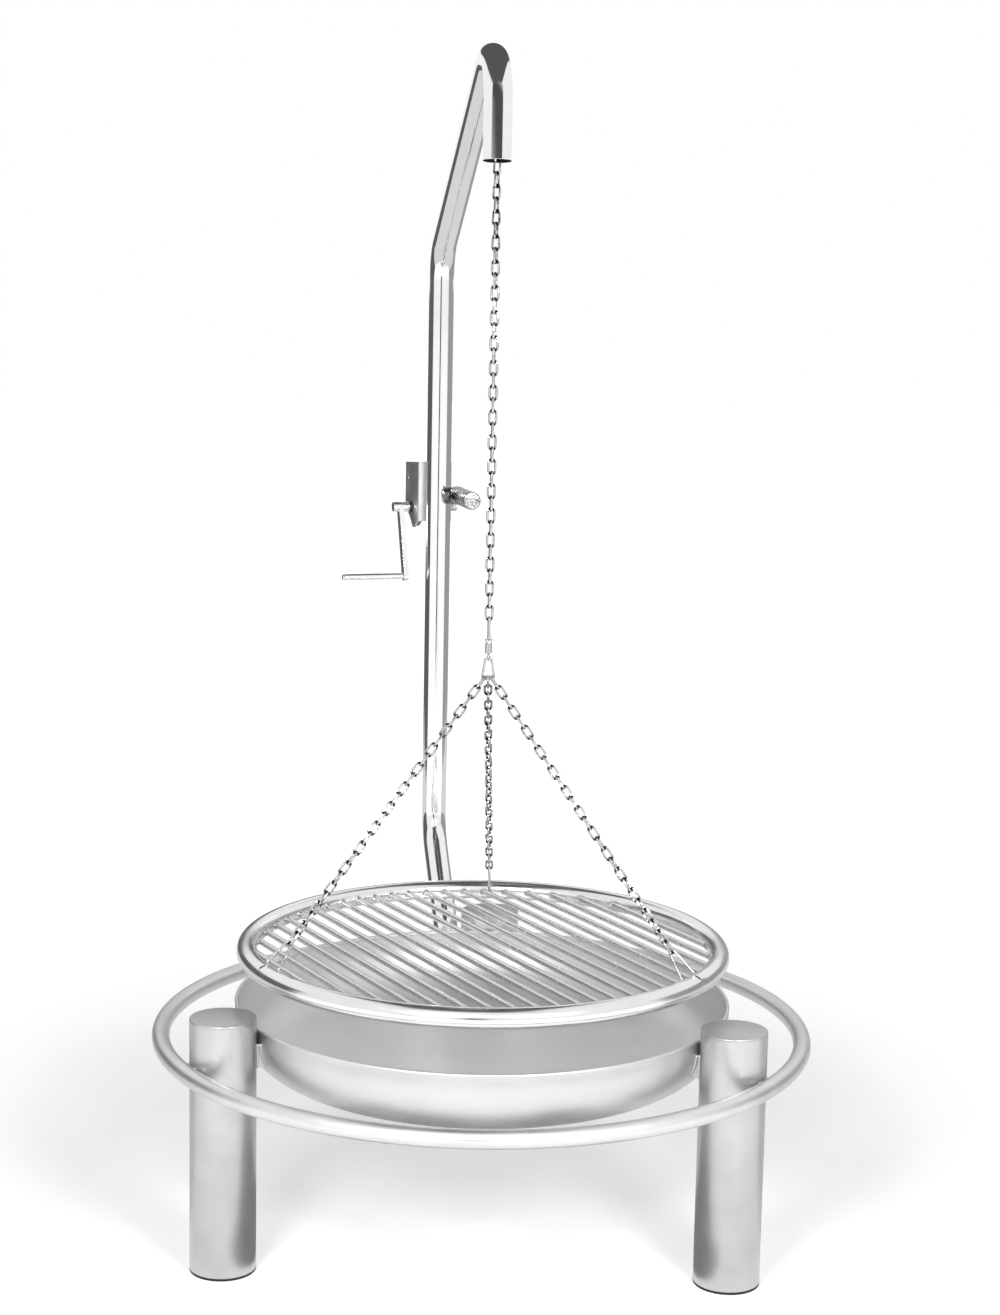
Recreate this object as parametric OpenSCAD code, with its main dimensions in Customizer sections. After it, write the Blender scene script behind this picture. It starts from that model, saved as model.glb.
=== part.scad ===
/* [Legs] */
// Free gap between the bowl's wall and a leg
leg_gap = 0.7; // [0.7:0.1:5]
// Outer diameter of a leg tube
leg_d = 101.6; // [95:0.1:108]
// Wall of a leg tube
leg_wall = 2; // [1.5:0.5:4]
// Height of a leg from the floor to the top of its cap
leg_h = 400; // [392:1:410]
// Thickness of the cap welded on top of a leg
cap_t = 3; // [2:0.5:5]
// Thickness of the rubber disc under a leg
foot_t = 4; // [3:0.5:8]
// Depth of the plug that holds a rubber disc in its leg
foot_plug_h = 14; // [8:1:25]

/* [Bowl] */
// Outer radius of the bowl below its rim
bowl_r = 394.5; // [385:0.5:410]
// Height of the bowl's upper edge above the floor
bowl_rim_z = 376; // [366:1:382]
// Straight height of the wall under the rim
bowl_flange_h = 10; // [6:1:20]
// Radius of the turned corner between wall and bottom
bowl_knuckle_r = 100; // [80:1:120]
// Radius of the shallow bottom
bowl_crown_r = 900; // [800:10:1000]
// Thickness of the bowl's plate
bowl_t = 4; // [3:0.5:6]
// Diameter of the rounded bead along the rim
rim_bead_d = 7; // [5:0.5:8]
// How far that bead stands out past the wall
rim_bead_out = 0.4; // [0.3:0.1:0.4]
// Height of the plates that join the bowl to the legs
bowl_plate_h = 37; // [20:1:50]
// Width of the plates that join the bowl to the legs
bowl_plate_w = 38; // [20:1:50]
// Height of the middle of these plates above the floor
bowl_plate_z = 338; // [325:1:345]

/* [Foot ring] */
// Outer diameter of the ring's tube
ring_tube_d = 28; // [22:1:32]
// Wall of the ring's tube
ring_wall = 2; // [1.5:0.5:3]
// Height of the middle of the tube above the floor
ring_z = 323.5; // [300:0.5:335]

/* [Mast] */
// Outer diameter of the mast tube
mast_d = 44.5; // [40:0.5:46]
// Wall of the mast tube
mast_wall = 2; // [1.5:0.5:3]
// Height of the mast's lower end above the floor
mast_foot_z = 66; // [50:1:90]
// Height where the upright spigot meets the slanted stretch
lower_vertex_z = 355; // [350:1:370]
// How far the upright part stands behind the socket
mast_back = 205; // [190:1:230]
// Height where the slanted stretch meets the upright part
shoulder_z = 496; // [480:1:520]
// Height where the upright part meets the arm
elbow_z = 1561; // [1500:1:1620]
// Height where the arm would meet the turned-down end
hook_z = 1892; // [1860:1:1960]
// Height of the open end that the chain hangs from
mouth_z = 1687; // [1660:1:1700]
// Bend radius of the two lower bends
low_bend_r = 80; // [70:1:100]
// Bend radius of the elbow
elbow_bend_r = 80; // [70:1:110]
// Bend radius at the end of the arm
hook_bend_r = 70; // [60:1:80]

/* [Socket] */
// Outer diameter of the socket sleeve
sleeve_d = 52; // [50:0.5:56]
// Height of the sleeve's upper end above the floor
sleeve_top_z = 308; // [280:1:310]
// Radial play between mast and sleeve
swivel_play = 0.08; // [0.04:0.01:0.1]
// Thickness of the sleeve's floor plate
socket_floor_t = 6; // [4:1:10]
// Thickness of the bronze disc that the mast turns on
thrust_t = 4; // [3:0.5:6]

/* [Winch] */
// Turn of the winch about the mast, past the direction of the arm
winch_turn = 10; // [0:1:15]
// Outer width of the bracket
bracket_w = 65; // [60:1:70]
// Plate thickness of the bracket
bracket_t = 4; // [3:0.5:5]
// Depth of the bracket's side plates behind the mast
bracket_depth = 82; // [78:1:90]
// Height of the bracket's upper edge
bracket_top_z = 1184; // [1180:1:1200]
// Height of the lower edge of the bracket's back plate
bracket_low_z = 1075; // [1060:1:1078]
// Height of the winch shaft
shaft_z = 1098; // [1095:1:1102]
// Distance from the back plate's front face to the shaft
shaft_depth = 44; // [43:1:46]
// Diameter of the winch shaft
shaft_d = 12; // [10:0.5:13]
// Radial play between shaft and bushes
shaft_play = 0.05; // [0.02:0.01:0.1]
// Diameter of the drum that the chain winds on
drum_d = 36; // [34:1:38]
// Diameter of the drum's two cheeks
cheek_d = 72; // [68:1:74]
// Thickness of a cheek
cheek_t = 3; // [2:0.5:4]
// Tip diameter of the ratchet wheel
ratchet_d = 62; // [58:1:66]
// Thickness of the ratchet wheel
ratchet_t = 5; // [4:0.5:6]
// Number of ratchet teeth
ratchet_teeth = 14; // [12:1:16]
// Depth of a ratchet tooth
tooth_h = 5; // [4:0.5:6]
// Height of the pawl's pin above the shaft
pawl_pin_up = 52; // [48:1:56]
// Distance of the pawl's pin behind the shaft
pawl_pin_back = 22; // [20:1:24]
// Diameter of the pawl's pin
pawl_pin_d = 8; // [6:0.5:9]

/* [Crank] */
// Distance from the shaft to the grip
crank_l = 130; // [110:1:150]
// Lean of the crank arm, forward from straight down
crank_lean = 17; // [0:1:40]
// Width of the crank arm
crank_w = 20; // [16:1:24]
// Thickness of the crank arm
crank_t = 9; // [7:1:11]
// Outer diameter of the crank's hub
hub_d = 19; // [17:0.5:22]
// Gap between the side plate and the crank arm
hub_reach = 16; // [14:1:24]
// Length of the grip
grip_l = 112; // [90:1:130]
// Diameter of the grip
grip_d = 11.5; // [10:0.5:16]
// Diameter of the pin inside the grip
grip_pin_d = 6; // [5:0.5:7]

/* [Swing handle] */
// Diameter of the handle bar
handle_d = 32; // [28:1:34]
// Length of the handle bar
handle_l = 134; // [110:1:160]
// Height of the middle of the handle
handle_z = 1123; // [1118:1:1140]
// Distance of the handle's rear end to the side of the mast
handle_side = 41.5; // [40:0.5:48]
// Turn of the handle back towards the direction of the arm
handle_turn = 5.5; // [0:0.5:8]
// Thickness of the lug that holds the handle
lug_t = 5; // [4:0.5:6]

/* [Chain] */
// Wire diameter of the chain
wire_d = 4; // [3.5:0.1:4.2]
// Spacing of the links
chain_pitch = 19; // [18:0.5:22]
// Outer width of a link
link_w = 14.6; // [14:0.1:16]
// Free play left between two hanging links
link_play = 0.3; // [0.2:0.05:0.6]
// Radius of the spread circle on which the leg chains hold the grate
hang_circle_r = 376.4; // [360:0.1:384]
// Height of the pin of the lower snap hook above the floor
apex_z = 891; // [860:1:930]

/* [Grate] */
// Outer diameter of the grate ring's tube
grate_tube_d = 32; // [28:1:33.7]
// Wall of the grate ring's tube
grate_wall = 2; // [1.5:0.5:3]
// Height of the middle of the grate above the floor
grate_z = 456; // [445:1:480]
// Diameter of a grate bar
bar_d = 9.5; // [8:0.5:12]
// Spacing of the grate bars
bar_pitch = 32; // [24:1:40]
// Direction of the bars, counted from the row of legs
bar_turn = 120; // [0:5:175]
// Sideways shift of the whole row of bars
bar_shift = 3.5; // [0:0.5:6]

/* [Hidden] */
$fn = 64;
steel = "gainsboro";
bright_steel = "silver";
dark_rubber = "dimgray";
bronze = "goldenrod";

// Angles of the three legs and of the three leg chains about the bowl
leg_angles = [210, 330, 90];
leg_r = leg_d / 2;
leg_circle_r = bowl_r + leg_gap + leg_r;
seat_gap = 0.2;
cut = 1;

// The foot ring lies against the outer sides of the legs
ring_r = leg_circle_r + leg_r + ring_tube_d / 2 + seat_gap;
ring_reach = ring_r + ring_tube_d / 2;

// The socket stands beside the rear leg, and the arm points from it to the middle of the bowl
socket_side = leg_r + sleeve_d / 2 + seat_gap;
arm_reach = norm([socket_side, leg_circle_r]);
arm_angle = atan2(-leg_circle_r, socket_side);
bore_d = mast_d + 2 * swivel_play;
socket_floor_z = mast_foot_z - thrust_t - socket_floor_t;
mast_bore_d = mast_d - 2 * mast_wall;

// The mast's centre line, as steps of reach from the socket and height, with a bend radius at each
mast_line = [
    [0, mast_foot_z], [0, lower_vertex_z], [-mast_back, shoulder_z],
    [-mast_back, elbow_z], [arm_reach, hook_z], [arm_reach, mouth_z]
];
mast_bends = [0, low_bend_r, low_bend_r, elbow_bend_r, hook_bend_r, 0];

// Places in the winch, counted from the mast's middle: back is negative, the right side positive
web_front = -mast_d / 2;
web_back = web_front - bracket_t;
bracket_rear = web_front - bracket_depth;
side_inner = bracket_w / 2 - bracket_t;
shaft_x = web_front - shaft_depth;
bush_flange_t = 1.5;
bush_d = shaft_d + 4;
wheel_play = 0.5;
ratchet_y = -side_inner + bush_flange_t + wheel_play;
drum_y = ratchet_y + ratchet_t;
drum_end_y = side_inner - bush_flange_t - wheel_play;
pawl_pin_x = shaft_x - pawl_pin_back;
pawl_pin_z = shaft_z + pawl_pin_up;
key_play = 0.1;

// A link's inner length leaves a little play at each end of a link spacing
link_inner_l = chain_pitch + link_play;
link_end_r = (link_w - wire_d) / 2;
link_reach = (link_inner_l + wire_d) / 2;
// Links that turn a bend lie a little closer together
bend_slack = 0.4;
// Distance from a link's middle to the middle of a wire that hangs in it
link_seat = link_reach - wire_d - link_play;

// The chain turns round the drum with its upright links clear of the core
wrap_r = drum_d / 2 + link_w / 2 + link_play;
// Flat links sink towards the core between their upright neighbours
wrap_sink = 2.1;
wrap_step = 39.6;
wrap_links = 8;
wrap_lane_y = link_w + 1.5;
feed_rise = 110;
// The feeding chain leaves the drum on a tangent that leads into the mast
feed_lean = atan2(-shaft_x, feed_rise) - asin(wrap_r / norm([shaft_x, feed_rise]));
feed_line = [
    [shaft_x + wrap_r * cos(feed_lean), shaft_z - wrap_r * sin(feed_lean)],
    [0, shaft_z + feed_rise], [0, shaft_z + feed_rise + 30]
];
feed_bends = [0, 60, 0];
slot_w = link_w + 3.4;

// Heights along the hanging chain, from the mouth down
hang_upper_z = mouth_z + 12;
hang_lower_z = hang_upper_z - chain_pitch;
main_top_z = hang_lower_z - chain_pitch;

// Lower snap hook: a tapered wire loop whose lower bar carries the three leg chains
hook_wire_d = 4;
lower_hook_h = 34;
lower_hook_top_w = 8;
chain_step_x = 1.6 * wire_d + link_play;
lower_hook_low_w = 2 * chain_step_x + hook_wire_d + 2;
lower_hook_top_z = apex_z + lower_hook_h;
// Swivel: an eye, a barrel and a second eye that turns in the barrel
eye_wire_d = 3;
eye_r = 4.6;
eye_seat = (hook_wire_d + eye_wire_d) / 2 + link_play;
low_eye_z = lower_hook_top_z - eye_seat + eye_r;
barrel_d = 10.5;
barrel_h = 15;
stem_d = 5;
stem_head_d = 7.4;
stem_head_h = 3;
barrel_low_z = low_eye_z + eye_r + 2;
barrel_top_z = barrel_low_z + barrel_h;
top_eye_z = barrel_top_z + eye_r + 0.6;
// Upper snap hook: an oval wire loop between the swivel's eye and the chain's last link
upper_hook_low_z = top_eye_z + eye_r - eye_seat;
upper_hook_w = 9;
upper_hook_h_least = 26;
chain_seat_z = upper_hook_low_z + upper_hook_h_least + link_seat;
main_links = floor((main_top_z - chain_seat_z) / chain_pitch) + 1;
main_low_z = main_top_z - (main_links - 1) * chain_pitch;
upper_hook_top_z = main_low_z - link_seat;
upper_hook_h = upper_hook_top_z - upper_hook_low_z;

// Leg chains: from the lower bar of the hook to the grate ring
stirrup_wire_d = 4;
stirrup_turn_r = 11;
stirrup_tip_r = 4;
stirrup_flat = 1;
stirrup_l_least = 26;
// A stirrup enters the ring by a slot on either side of a bridge that it hangs on
bridge_w = 12;
slot_play = 0.5;
outer_slot_low = 3;
inner_slot_low = 9.5;
grate_bore_r = grate_tube_d / 2 - grate_wall;
stirrup_seat = sqrt(pow(grate_bore_r, 2) - pow(bridge_w / 2, 2))
    + sqrt(pow(stirrup_turn_r - stirrup_wire_d / 2 - link_play, 2) - pow(bridge_w / 2 - stirrup_flat, 2));

// Grate: bars run across the ring in its own height
grate_inner_r = hang_circle_r - grate_tube_d / 2;
bar_count = 2 * floor((grate_inner_r - bar_d) / bar_pitch + 0.5);

// The model stands with its middle over the origin, measured from the ring to the winch's rear
winch_angle = arm_angle + winch_turn;
mast_y = leg_circle_r - mast_back * sin(arm_angle);
rear_y = mast_y + bracket_rear * sin(winch_angle) + bracket_w / 2 * abs(cos(winch_angle));
centre_shift = (ring_reach - rear_y) / 2;

// Heading of a step in the upright plane, as an angle from level
function heading(a, b) = atan2(b[1] - a[1], b[0] - a[0]);
function wrap_angle(a) = a > 180 ? a - 360 : (a < -180 ? a + 360 : a);
function bend_at(p, i) = wrap_angle(heading(p[i], p[i + 1]) - heading(p[i - 1], p[i]));
function ahead(a) = [cos(a), sin(a)];
function beside(a) = [-sin(a), cos(a)];
function inner_vertex(p, i) = i > 0 && i < len(p) - 1;
// Length that a bend takes off the straight steps on both of its sides
function bend_take(p, r, i) = inner_vertex(p, i) ? r[i] * tan(abs(bend_at(p, i)) / 2) : 0;
function step_start(p, r, i) = p[i] + bend_take(p, r, i) * ahead(heading(p[i], p[i + 1]));
function step_end(p, r, i) = p[i + 1] - bend_take(p, r, i + 1) * ahead(heading(p[i], p[i + 1]));
function step_l(p, r, i) = norm(step_end(p, r, i) - step_start(p, r, i));
function arc_l(p, r, i) = inner_vertex(p, i) ? r[i] * abs(bend_at(p, i)) * PI / 180 : 0;
function line_l(p, r, i = 0) =
    i > len(p) - 2 ? 0 : step_l(p, r, i) + arc_l(p, r, i + 1) + line_l(p, r, i + 1);

// Place and heading at a length s along a bent line
function along(p, r, s, i = 0) =
    let (h = heading(p[i], p[i + 1]), run = step_l(p, r, i), arc = arc_l(p, r, i + 1))
    s <= run || i == len(p) - 2 ? concat(step_start(p, r, i) + s * ahead(h), h)
    : s > run + arc ? along(p, r, s - run - arc, i + 1)
    : let (turn = bend_at(p, i + 1), way = sign(turn), t = h + turn * (s - run) / arc)
      concat(step_end(p, r, i) + way * r[i + 1] * (beside(h) - beside(t)), t);

// Points of an arc about a centre
function arc_points(centre, r, from, to, steps) =
    [for (i = [0:steps]) let (a = from + (to - from) * i / steps) centre + r * [cos(a), sin(a)]];

collar_l = 0.5;
collar_proud = 0.04;
tube_collar_proud = 0.3;

module round_section(d, bore) {
    difference() {
        circle(d = d);
        if (bore > 0)
            circle(d = bore);
    }
}

// Rod or tube along a bent line in the upright plane, with flat ends.
// A collar a hair thicker bridges each straight and bend, so that their walls join.
module bent_rod(p, r, d, bore = 0) {
    last = len(p) - 2;
    for (i = [0:last]) {
        start = step_start(p, r, i);
        l = step_l(p, r, i);
        from = i > 0 ? collar_l : 0;
        to = i < last ? l - collar_l : l;
        translate([start[0], 0, start[1]])
            rotate([0, 90 - heading(p[i], p[i + 1]), 0]) {
                translate([0, 0, from])
                    linear_extrude(to - from)
                        round_section(d, bore);
                if (i > 0)
                    joint_collar(-collar_l, d, bore);
                if (i < last)
                    joint_collar(l - 2 * collar_l, d, bore);
            }
    }
    for (i = [1:last]) {
        turn = bend_at(p, i);
        h = heading(p[i - 1], p[i]);
        centre = step_end(p, r, i - 1) + sign(turn) * r[i] * beside(h);
        from = turn > 0 ? h - 90 : h + 90 + turn;
        translate([centre[0], 0, centre[1]])
            rotate([90, 0, 0])
                rotate([0, 0, from])
                    rotate_extrude(angle = abs(turn))
                        translate([r[i], 0])
                            round_section(d, bore);
    }
}

// On a tube the collar is higher, so that its narrow steps mesh cleanly
module joint_collar(z, d, bore) {
    proud = bore > 0 ? tube_collar_proud : collar_proud;
    translate([0, 0, z])
        linear_extrude(3 * collar_l)
            round_section(d + 2 * proud, bore > 0 ? bore - 2 * proud : 0);
}

// Torus with its middle at the origin
module torus(r, d) {
    rotate_extrude($fn = 128)
        translate([r, 0])
            circle(d = d);
}

// Half of a torus, standing upright above the level plane
module half_torus(r, d) {
    rotate([90, 0, 0])
        rotate_extrude(angle = 180, $fn = 32)
            translate([r, 0])
                circle(d = d, $fn = 24);
}

// Oval wire loop along Z, flat in the XZ plane, given by the middle of its wire
module oval_loop(length, width, d) {
    straight = length - width;
    for (side = [0, 180])
        rotate([0, side, 0]) {
            translate([0, 0, straight / 2])
                half_torus(width / 2, d);
            translate([width / 2, 0, -straight / 2])
                cylinder(h = straight, d = d, $fn = 24);
        }
}

module chain_link() {
    oval_loop(link_inner_l + wire_d, link_w - wire_d, wire_d);
}

// Links hung below each other, every second one turned across
module hanging_links(top_z, count) {
    for (i = [0:count - 1])
        translate([0, 0, top_z - i * chain_pitch])
            rotate([0, 0, 90 * (i % 2)])
                chain_link();
}

// Links laid along a bent line in the upright plane, back from a place on it
module laid_links(p, r, to, steps, turned = 0) {
    for (i = [0:steps]) {
        spot = along(p, r, to - i * laid_pitch);
        translate([spot[0], 0, spot[1]])
            rotate([0, 90 - spot[2], 0])
                rotate([0, 0, 90 * ((i + turned) % 2)])
                    chain_link();
    }
}

module centred() {
    translate([0, centre_shift, 0])
        children();
}

module at_leg(i) {
    centred()
        rotate([0, 0, leg_angles[i]])
            translate([leg_circle_r, 0, 0])
                children();
}

// Frame of the mast: X along the arm, Y to its right, Z up through the socket
module on_mast() {
    centred()
        translate([-socket_side, leg_circle_r, 0])
            rotate([0, 0, arm_angle])
                children();
}

// Frame of the winch: Z up through the mast's upright part
module on_winch() {
    on_mast()
        translate([-mast_back, 0, 0])
            rotate([0, 0, winch_turn])
                children();
}

// Lying cylinder across the winch, from y_from to y_to
module cross_rod(x, z, d, y_from, y_to) {
    translate([x, y_from, z])
        rotate([-90, 0, 0])
            cylinder(h = y_to - y_from, d = d);
}

module leg(i) {
    color(steel)
        at_leg(i)
            translate([0, 0, foot_t])
                difference() {
                    cylinder(h = leg_h - foot_t - cap_t, d = leg_d);
                    translate([0, 0, -cut])
                        cylinder(h = leg_h, d = leg_d - 2 * leg_wall);
                }
}

module leg_caps() {
    edge_r = 2;
    color(steel)
        for (i = [0:2])
            at_leg(i)
                translate([0, 0, leg_h - cap_t])
                    rotate_extrude($fn = 96)
                        polygon(concat(
                            [[0, 0], [leg_r, 0]],
                            arc_points([leg_r - edge_r, cap_t - edge_r], edge_r, 0, 90, 6),
                            [[0, cap_t]]));
}

module foot_discs() {
    color(dark_rubber)
        for (i = [0:2])
            at_leg(i) {
                cylinder(h = foot_t, d = leg_d);
                cylinder(h = foot_t + foot_plug_h, d = leg_d - 2 * leg_wall - 2 * seat_gap);
            }
}

module foot_ring() {
    color(steel)
        centred()
            translate([0, 0, ring_z])
                difference() {
                    torus(ring_r, ring_tube_d);
                    torus(ring_r, ring_tube_d - 2 * ring_wall);
                }
}

// Half outline of a dished bowl, drawn at a distance inside its outer face
function dish_points(inset) =
    let (
        corner_z = bowl_rim_z - bowl_flange_h,
        corner_x = bowl_r - bowl_knuckle_r,
        crown_z = corner_z + sqrt(pow(bowl_crown_r - bowl_knuckle_r, 2) - pow(corner_x, 2)),
        meet = asin(corner_x / (bowl_crown_r - bowl_knuckle_r))
    )
    concat(
        [[bowl_r - inset, bowl_rim_z]],
        arc_points([corner_x, corner_z], bowl_knuckle_r - inset, 0, meet - 90, 16),
        arc_points([0, crown_z], bowl_crown_r - inset, meet - 90 - meet / 20, -90, 19)
    );

module bowl() {
    inner = dish_points(bowl_t);
    outer = dish_points(0);
    count = len(inner);
    color(steel)
        centred() {
            rotate_extrude($fn = 128)
                polygon(concat(outer, [for (i = [1:count]) inner[count - i]]));
            translate([0, 0, bowl_rim_z - 2])
                difference() {
                    torus(bowl_r + rim_bead_out - rim_bead_d / 2, rim_bead_d);
                    translate([0, 0, -rim_bead_d])
                        difference() {
                            cylinder(h = rim_bead_d + 2, r = bowl_r, $fn = 128);
                            translate([0, 0, -cut])
                                cylinder(h = rim_bead_d + 4, r = bowl_r - bowl_t, $fn = 128);
                        }
                }
        }
}

// Radius of the bowl's outer face at a height within its turned corner
function wall_r(z) =
    bowl_r - bowl_knuckle_r + sqrt(pow(bowl_knuckle_r, 2) - pow(bowl_rim_z - bowl_flange_h - z, 2));

module bowl_plates() {
    low = bowl_plate_z - bowl_plate_h / 2;
    steps = 6;
    wall = [for (k = [0:steps]) let (z = low + bowl_plate_h * k / steps) [wall_r(z) + seat_gap, z]];
    color(steel)
        for (i = [0:2])
            centred()
                rotate([0, 0, leg_angles[i]])
                    difference() {
                        translate([0, bowl_plate_w / 2, 0])
                            rotate([90, 0, 0])
                                linear_extrude(bowl_plate_w)
                                    polygon(concat(wall, [
                                        [leg_circle_r, low + bowl_plate_h], [leg_circle_r, low]]));
                        translate([leg_circle_r, 0, 0])
                            cylinder(h = leg_h, d = leg_d);
                    }
}

module socket_sleeve() {
    color(steel)
        on_mast()
            translate([0, 0, socket_floor_z + socket_floor_t])
                difference() {
                    cylinder(h = sleeve_top_z - socket_floor_z - socket_floor_t, d = sleeve_d);
                    translate([0, 0, -cut])
                        cylinder(h = sleeve_top_z, d = bore_d);
                }
}

module socket_floor() {
    color(steel)
        on_mast()
            translate([0, 0, socket_floor_z])
                cylinder(h = socket_floor_t, d = sleeve_d);
}

module thrust_disc() {
    color(bronze)
        on_mast()
            translate([0, 0, socket_floor_z + socket_floor_t])
                difference() {
                    cylinder(h = thrust_t, d = bore_d - 2 * seat_gap);
                    translate([0, 0, -cut])
                        cylinder(h = thrust_t + 2 * cut, d = mast_bore_d / 2);
                }
}

module mast_tube() {
    color(bright_steel)
        difference() {
            on_mast()
                bent_rod(mast_line, mast_bends, mast_d, mast_bore_d);
            on_winch()
                chain_slot();
        }
}

// Slot through the bracket's back plate and the mast's wall for the chain
module chain_slot() {
    low = shaft_z + 9;
    translate([web_back - cut, -slot_w / 2, low])
        cube([bracket_t + mast_wall + 5 + cut, slot_w, bracket_top_z - 6 - low]);
}

// Outline of a side plate: depth behind the mast, height
function side_outline() =
    let (tip_x = -28, tip_r = 16, tip_z = bracket_low_z + 2, rear_fall = 5, rear_low = shaft_z + 2)
    concat(
        [[web_front, bracket_top_z]],
        [[bracket_rear, bracket_top_z - rear_fall], [bracket_rear, rear_low]],
        arc_points([web_front + tip_x, tip_z], tip_r, 205, 335, 10),
        [[web_front, bracket_low_z]]
    );

module winch_bracket() {
    color(bright_steel)
        on_winch()
            difference() {
                union() {
                    for (y = [-bracket_w / 2, side_inner])
                        translate([0, y + bracket_t, 0])
                            rotate([90, 0, 0])
                                linear_extrude(bracket_t)
                                    polygon(side_outline());
                    translate([web_back, -side_inner, bracket_low_z])
                        cube([bracket_t, 2 * side_inner, bracket_top_z - bracket_low_z]);
                }
                chain_slot();
                cross_rod(shaft_x, shaft_z, bush_d, -bracket_w, bracket_w);
                cross_rod(pawl_pin_x, pawl_pin_z, pawl_pin_d, -bracket_w, bracket_w);
            }
}

// Two screws that clamp the back plate to the mast, with their heads inside the bracket
module bracket_screws() {
    color(bright_steel)
        on_winch()
            for (z = [bracket_low_z + 8, bracket_top_z - 3])
                translate([web_back, 0, z])
                    rotate([0, -90, 0])
                        cylinder(h = 2.6, d = 9, $fn = 6);
}

module handle_lug() {
    color(bright_steel)
        on_winch()
            difference() {
                translate([web_front - lug_t, bracket_w / 2, handle_z - 14])
                    cube([lug_t, handle_side + 12 - bracket_w / 2, 28]);
                translate([web_front - lug_t - cut, handle_side, handle_z])
                    rotate([0, 90, 0])
                        cylinder(h = lug_t + 2 * cut, d = 8.4);
            }
}

module on_handle() {
    on_winch()
        translate([web_front, handle_side, handle_z])
            rotate([0, 0, -handle_turn])
                children();
}

module swing_handle() {
    edge_r = 2;
    color(bright_steel)
        difference() {
            on_handle()
                rotate([0, 90, 0])
                    rotate_extrude($fn = 96)
                        polygon(concat(
                            [[0, -6], [handle_d / 2, -6]],
                            arc_points([handle_d / 2 - edge_r, handle_l - edge_r], edge_r, 0, 90, 6),
                            [[0, handle_l]]));
            on_winch() {
                translate([web_front - 20, 0, handle_z - handle_d])
                    cube([20, 2 * handle_side, 2 * handle_d]);
                translate([web_front - cut, handle_side, handle_z])
                    rotate([0, 90, 0])
                        cylinder(h = 25, d = 8.4);
            }
        }
}

module handle_screw() {
    color(bright_steel)
        on_winch()
            translate([web_front - lug_t, handle_side, handle_z])
                rotate([0, 90, 0]) {
                    cylinder(h = lug_t + 20, d = 8);
                    translate([0, 0, -5])
                        cylinder(h = 5, d = 13, $fn = 6);
                }
}

module shaft_bushes() {
    color(bronze)
        on_winch()
            for (side = [-1, 1])
                difference() {
                    union() {
                        cross_rod(shaft_x, shaft_z, bush_d,
                            side < 0 ? -bracket_w / 2 : side_inner,
                            side < 0 ? -side_inner : bracket_w / 2);
                        cross_rod(shaft_x, shaft_z, bush_d + 5,
                            side < 0 ? -side_inner : side_inner - bush_flange_t,
                            side < 0 ? -side_inner + bush_flange_t : side_inner);
                    }
                    cross_rod(shaft_x, shaft_z, shaft_d + 2 * shaft_play, -bracket_w, bracket_w);
                }
}

pin_out = 6;

module pawl_pin() {
    color(bright_steel)
        on_winch() {
            cross_rod(pawl_pin_x, pawl_pin_z, pawl_pin_d, -bracket_w / 2 - 0.5, bracket_w / 2 + pin_out);
            translate([pawl_pin_x, bracket_w / 2 + 1.5, pawl_pin_z])
                rotate([-90, 0, 0])
                    difference() {
                        cylinder(h = 3, d = 14);
                        translate([0, 0, -cut])
                            cylinder(h = 3 + 2 * cut, d = pawl_pin_d);
                    }
        }
}

// The pawl hangs from its pin and its nose rests just clear of the wheel's tips
pawl_nose_gap = 0.4;
pawl_t = ratchet_t - 2 * seat_gap;
pawl_angle = atan2(pawl_pin_up, -pawl_pin_back);
pawl_reach = norm([pawl_pin_up, pawl_pin_back]) - ratchet_d / 2 - pawl_nose_gap;

module pawl() {
    tail = 16;
    color(bright_steel)
        on_winch()
            translate([pawl_pin_x, ratchet_y + ratchet_t - seat_gap, pawl_pin_z])
                rotate([90, 0, 0])
                    rotate([0, 0, pawl_angle + 180])
                        difference() {
                            union() {
                                linear_extrude(pawl_t)
                                    polygon([[0, -7], [pawl_reach - 4, -5], [pawl_reach, -4],
                                        [pawl_reach, 4], [pawl_reach - 4, 6], [0, 7]]);
                                cylinder(h = pawl_t, d = 15);
                                translate([-tail, -3, 0])
                                    cube([tail, 6, pawl_t]);
                            }
                            translate([0, 0, -cut])
                                cylinder(h = ratchet_t + 2 * cut, d = pawl_pin_d + 2 * shaft_play);
                        }
}

// Thumb knob on the pawl's tail, standing out at the open rear of the bracket
module pawl_knob() {
    color(bright_steel)
        on_winch()
            translate([pawl_pin_x, ratchet_y + ratchet_t, pawl_pin_z])
                rotate([90, 0, 0])
                    rotate([0, 0, pawl_angle + 180])
                        translate([-16 - 10, 0, ratchet_t / 2])
                            rotate([0, 90, 0])
                                cylinder(h = 10, d = 8);
}

module winch_shaft() {
    flat_y = -bracket_w / 2 - hub_reach;
    color(bright_steel)
        on_winch()
            cross_rod(shaft_x, shaft_z, shaft_d, flat_y - crank_t - 8, bracket_w / 2 + 12);
}

module chain_drum() {
    color(bright_steel)
        on_winch()
            difference() {
                union() {
                    cross_rod(shaft_x, shaft_z, drum_d, drum_y, drum_end_y);
                    cross_rod(shaft_x, shaft_z, cheek_d, drum_y, drum_y + cheek_t);
                    cross_rod(shaft_x, shaft_z, cheek_d, drum_end_y - cheek_t, drum_end_y);
                }
                cross_rod(shaft_x, shaft_z, shaft_d + 2 * key_play, -bracket_w, bracket_w);
            }
}

// Saw teeth: each tip falls straight back to the root of the next
function ratchet_points() =
    [for (i = [0:ratchet_teeth - 1]) let (a = 360 / ratchet_teeth)
        for (k = [0, 1])
            (k == 0 ? ratchet_d / 2 : ratchet_d / 2 - tooth_h)
                * [cos(a * i + 2 * k), sin(a * i + 2 * k)]];

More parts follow.
